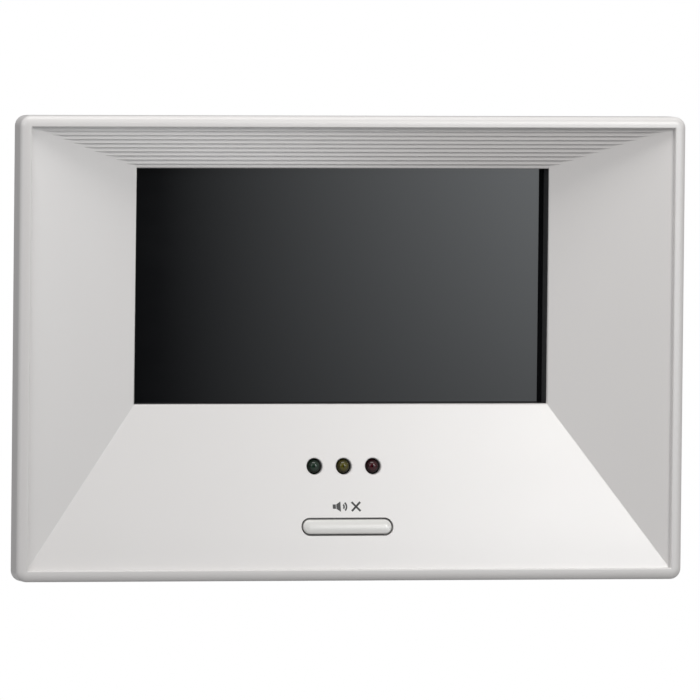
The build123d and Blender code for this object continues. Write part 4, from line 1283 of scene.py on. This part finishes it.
@dataclass
class Studio:
    """Camera, floor, lights and surroundings."""

    azimuth: float = -15.0
    elevation: float = 2.5
    roll: float = 0.59
    distance: float = 6.0
    image_scale: float = 2.743
    aim: Pair = (-1.3, -0.42)
    image: int = 700
    sensor: float = 36.0
    clip: float = 100.0
    floor_drop: float = 0.16
    floor_half: float = 1.1
    card_y: float = -0.62
    card_sides: Pair = (-0.5, 0.75)
    card_ends: Pair = (-0.35, 0.22)

    def camera(self) -> None:
        """Add the camera: a long lens from the left and a little above."""
        a, e, roll = (math.radians(v) for v in (self.azimuth, self.elevation, self.roll))
        back = Vector((math.sin(a) * math.cos(e), -math.cos(a) * math.cos(e), math.sin(e)))
        right = Vector((math.cos(a), math.sin(a), 0))
        up = back.cross(right)
        turned_right = math.cos(roll) * right + math.sin(roll) * up
        turned_up = math.cos(roll) * up - math.sin(roll) * right
        target = Vector((self.aim[0] * MM, CAD_BOX[0][1], self.aim[1] * MM))
        data = bpy.data.cameras.new("studio_camera")
        data.sensor_width = self.sensor
        data.lens = self.image_scale / MM * self.distance * self.sensor / self.image
        data.clip_end = self.clip
        camera = add_object("studio_camera", data)
        axes = Matrix((turned_right, turned_up, back)).transposed().to_4x4()
        camera.matrix_world = Matrix.Translation(target + back * self.distance) @ axes
        bpy.context.scene.camera = camera

    def floor(self) -> None:
        """Add a plain pale floor below the object."""
        z = CAD_BOX[0][2] - self.floor_drop
        half = self.floor_half
        pale = Finish(Pattern.PEEL, grey(0.8), grey(0.84), (0.6, 0.7), 6.0, 0.02)
        corners = [(-half, -half, z), (half, -half, z), (half, half, z), (-half, half, z)]
        stage_sheet("studio_floor", corners, pale.build("studio_floor"))

    def card(self) -> None:
        """Add the reflector that shows in the pane: dim at its left edge and bright at its right."""
        material = bpy.data.materials.new("studio_card")
        shader = Shader(material)
        across = (shader.along("X") * 7.0 - 0.6).larger(0.0).smaller(1.1)
        down = (0.85 + 5.0 * shader.along("Z")).larger(0.4)
        inputs = {"Color": (0.93, 0.97, 1.0), "Strength": (0.08 + 2.6 * across) * down}
        shader.output("ShaderNodeOutputMaterial", shader.node("ShaderNodeEmission", inputs=inputs))
        (left, right), (foot, top) = self.card_sides, self.card_ends
        places = ((left, top), (right, top), (right, foot), (left, foot))
        sheet = stage_sheet("studio_card", [(x, self.card_y, z) for x, z in places], material)
        sheet.visible_camera = False
        sheet.visible_shadow = False
        sheet.visible_transmission = False

    def surroundings(self) -> None:
        """White to the camera, a soft room to everything else."""
        world = bpy.data.worlds.new("studio_world")
        bpy.context.scene.world = world
        shader = Shader(world)
        direction = shader.node("ShaderNodeTexCoord", out="Generated")
        up, side = (shader.node("ShaderNodeSeparateXYZ", inputs={0: direction}, out=axis) for axis in "ZX")
        soft = shader.mix((0.27, 0.27, 0.273), (0.46, 0.46, 0.465), up.rise(-0.6, 0.9))
        gloss_level = 0.1 + 0.6 * up.rise(0.1, 0.8) + 0.3 * side.rise(0.3, 0.9)
        glossy, camera = (
            shader.node("ShaderNodeLightPath", out=f"Is {ray} Ray") for ray in ("Glossy", "Camera")
        )
        room = shader.mix(soft, shader.mix(grey(0.0), grey(1.0), gloss_level), glossy)
        seen = shader.mix(room, grey(1.0), camera)
        shader.output("ShaderNodeOutputWorld", shader.node("ShaderNodeBackground", inputs={"Color": seen}))

    def build(self) -> None:
        """Set the scene."""
        view = bpy.context.scene.view_settings
        view.view_transform = "Standard"
        view.look = "None"
        self.camera()
        self.floor()
        self.surroundings()
        for softbox in SOFTBOXES:
            softbox.build()
        self.card()


def main() -> None:
    """Build every piece in order."""
    logging.basicConfig(level=logging.INFO, format="%(name)s: %(message)s")
    dress_nodes()
    panel = FrontPanel()
    pieces = [
        FrontFrame(),
        panel,
        MuteButton(panel),
        *(Lamp(f"led_{colour}", f"{colour}_lamp") for colour in LAMP_COLOURS),
        Marking(panel),
        Studio(),
    ]
    for piece in pieces:
        piece.build()
        LOG.info("built %s", type(piece).__name__)


if __name__ == "__main__":
    main()
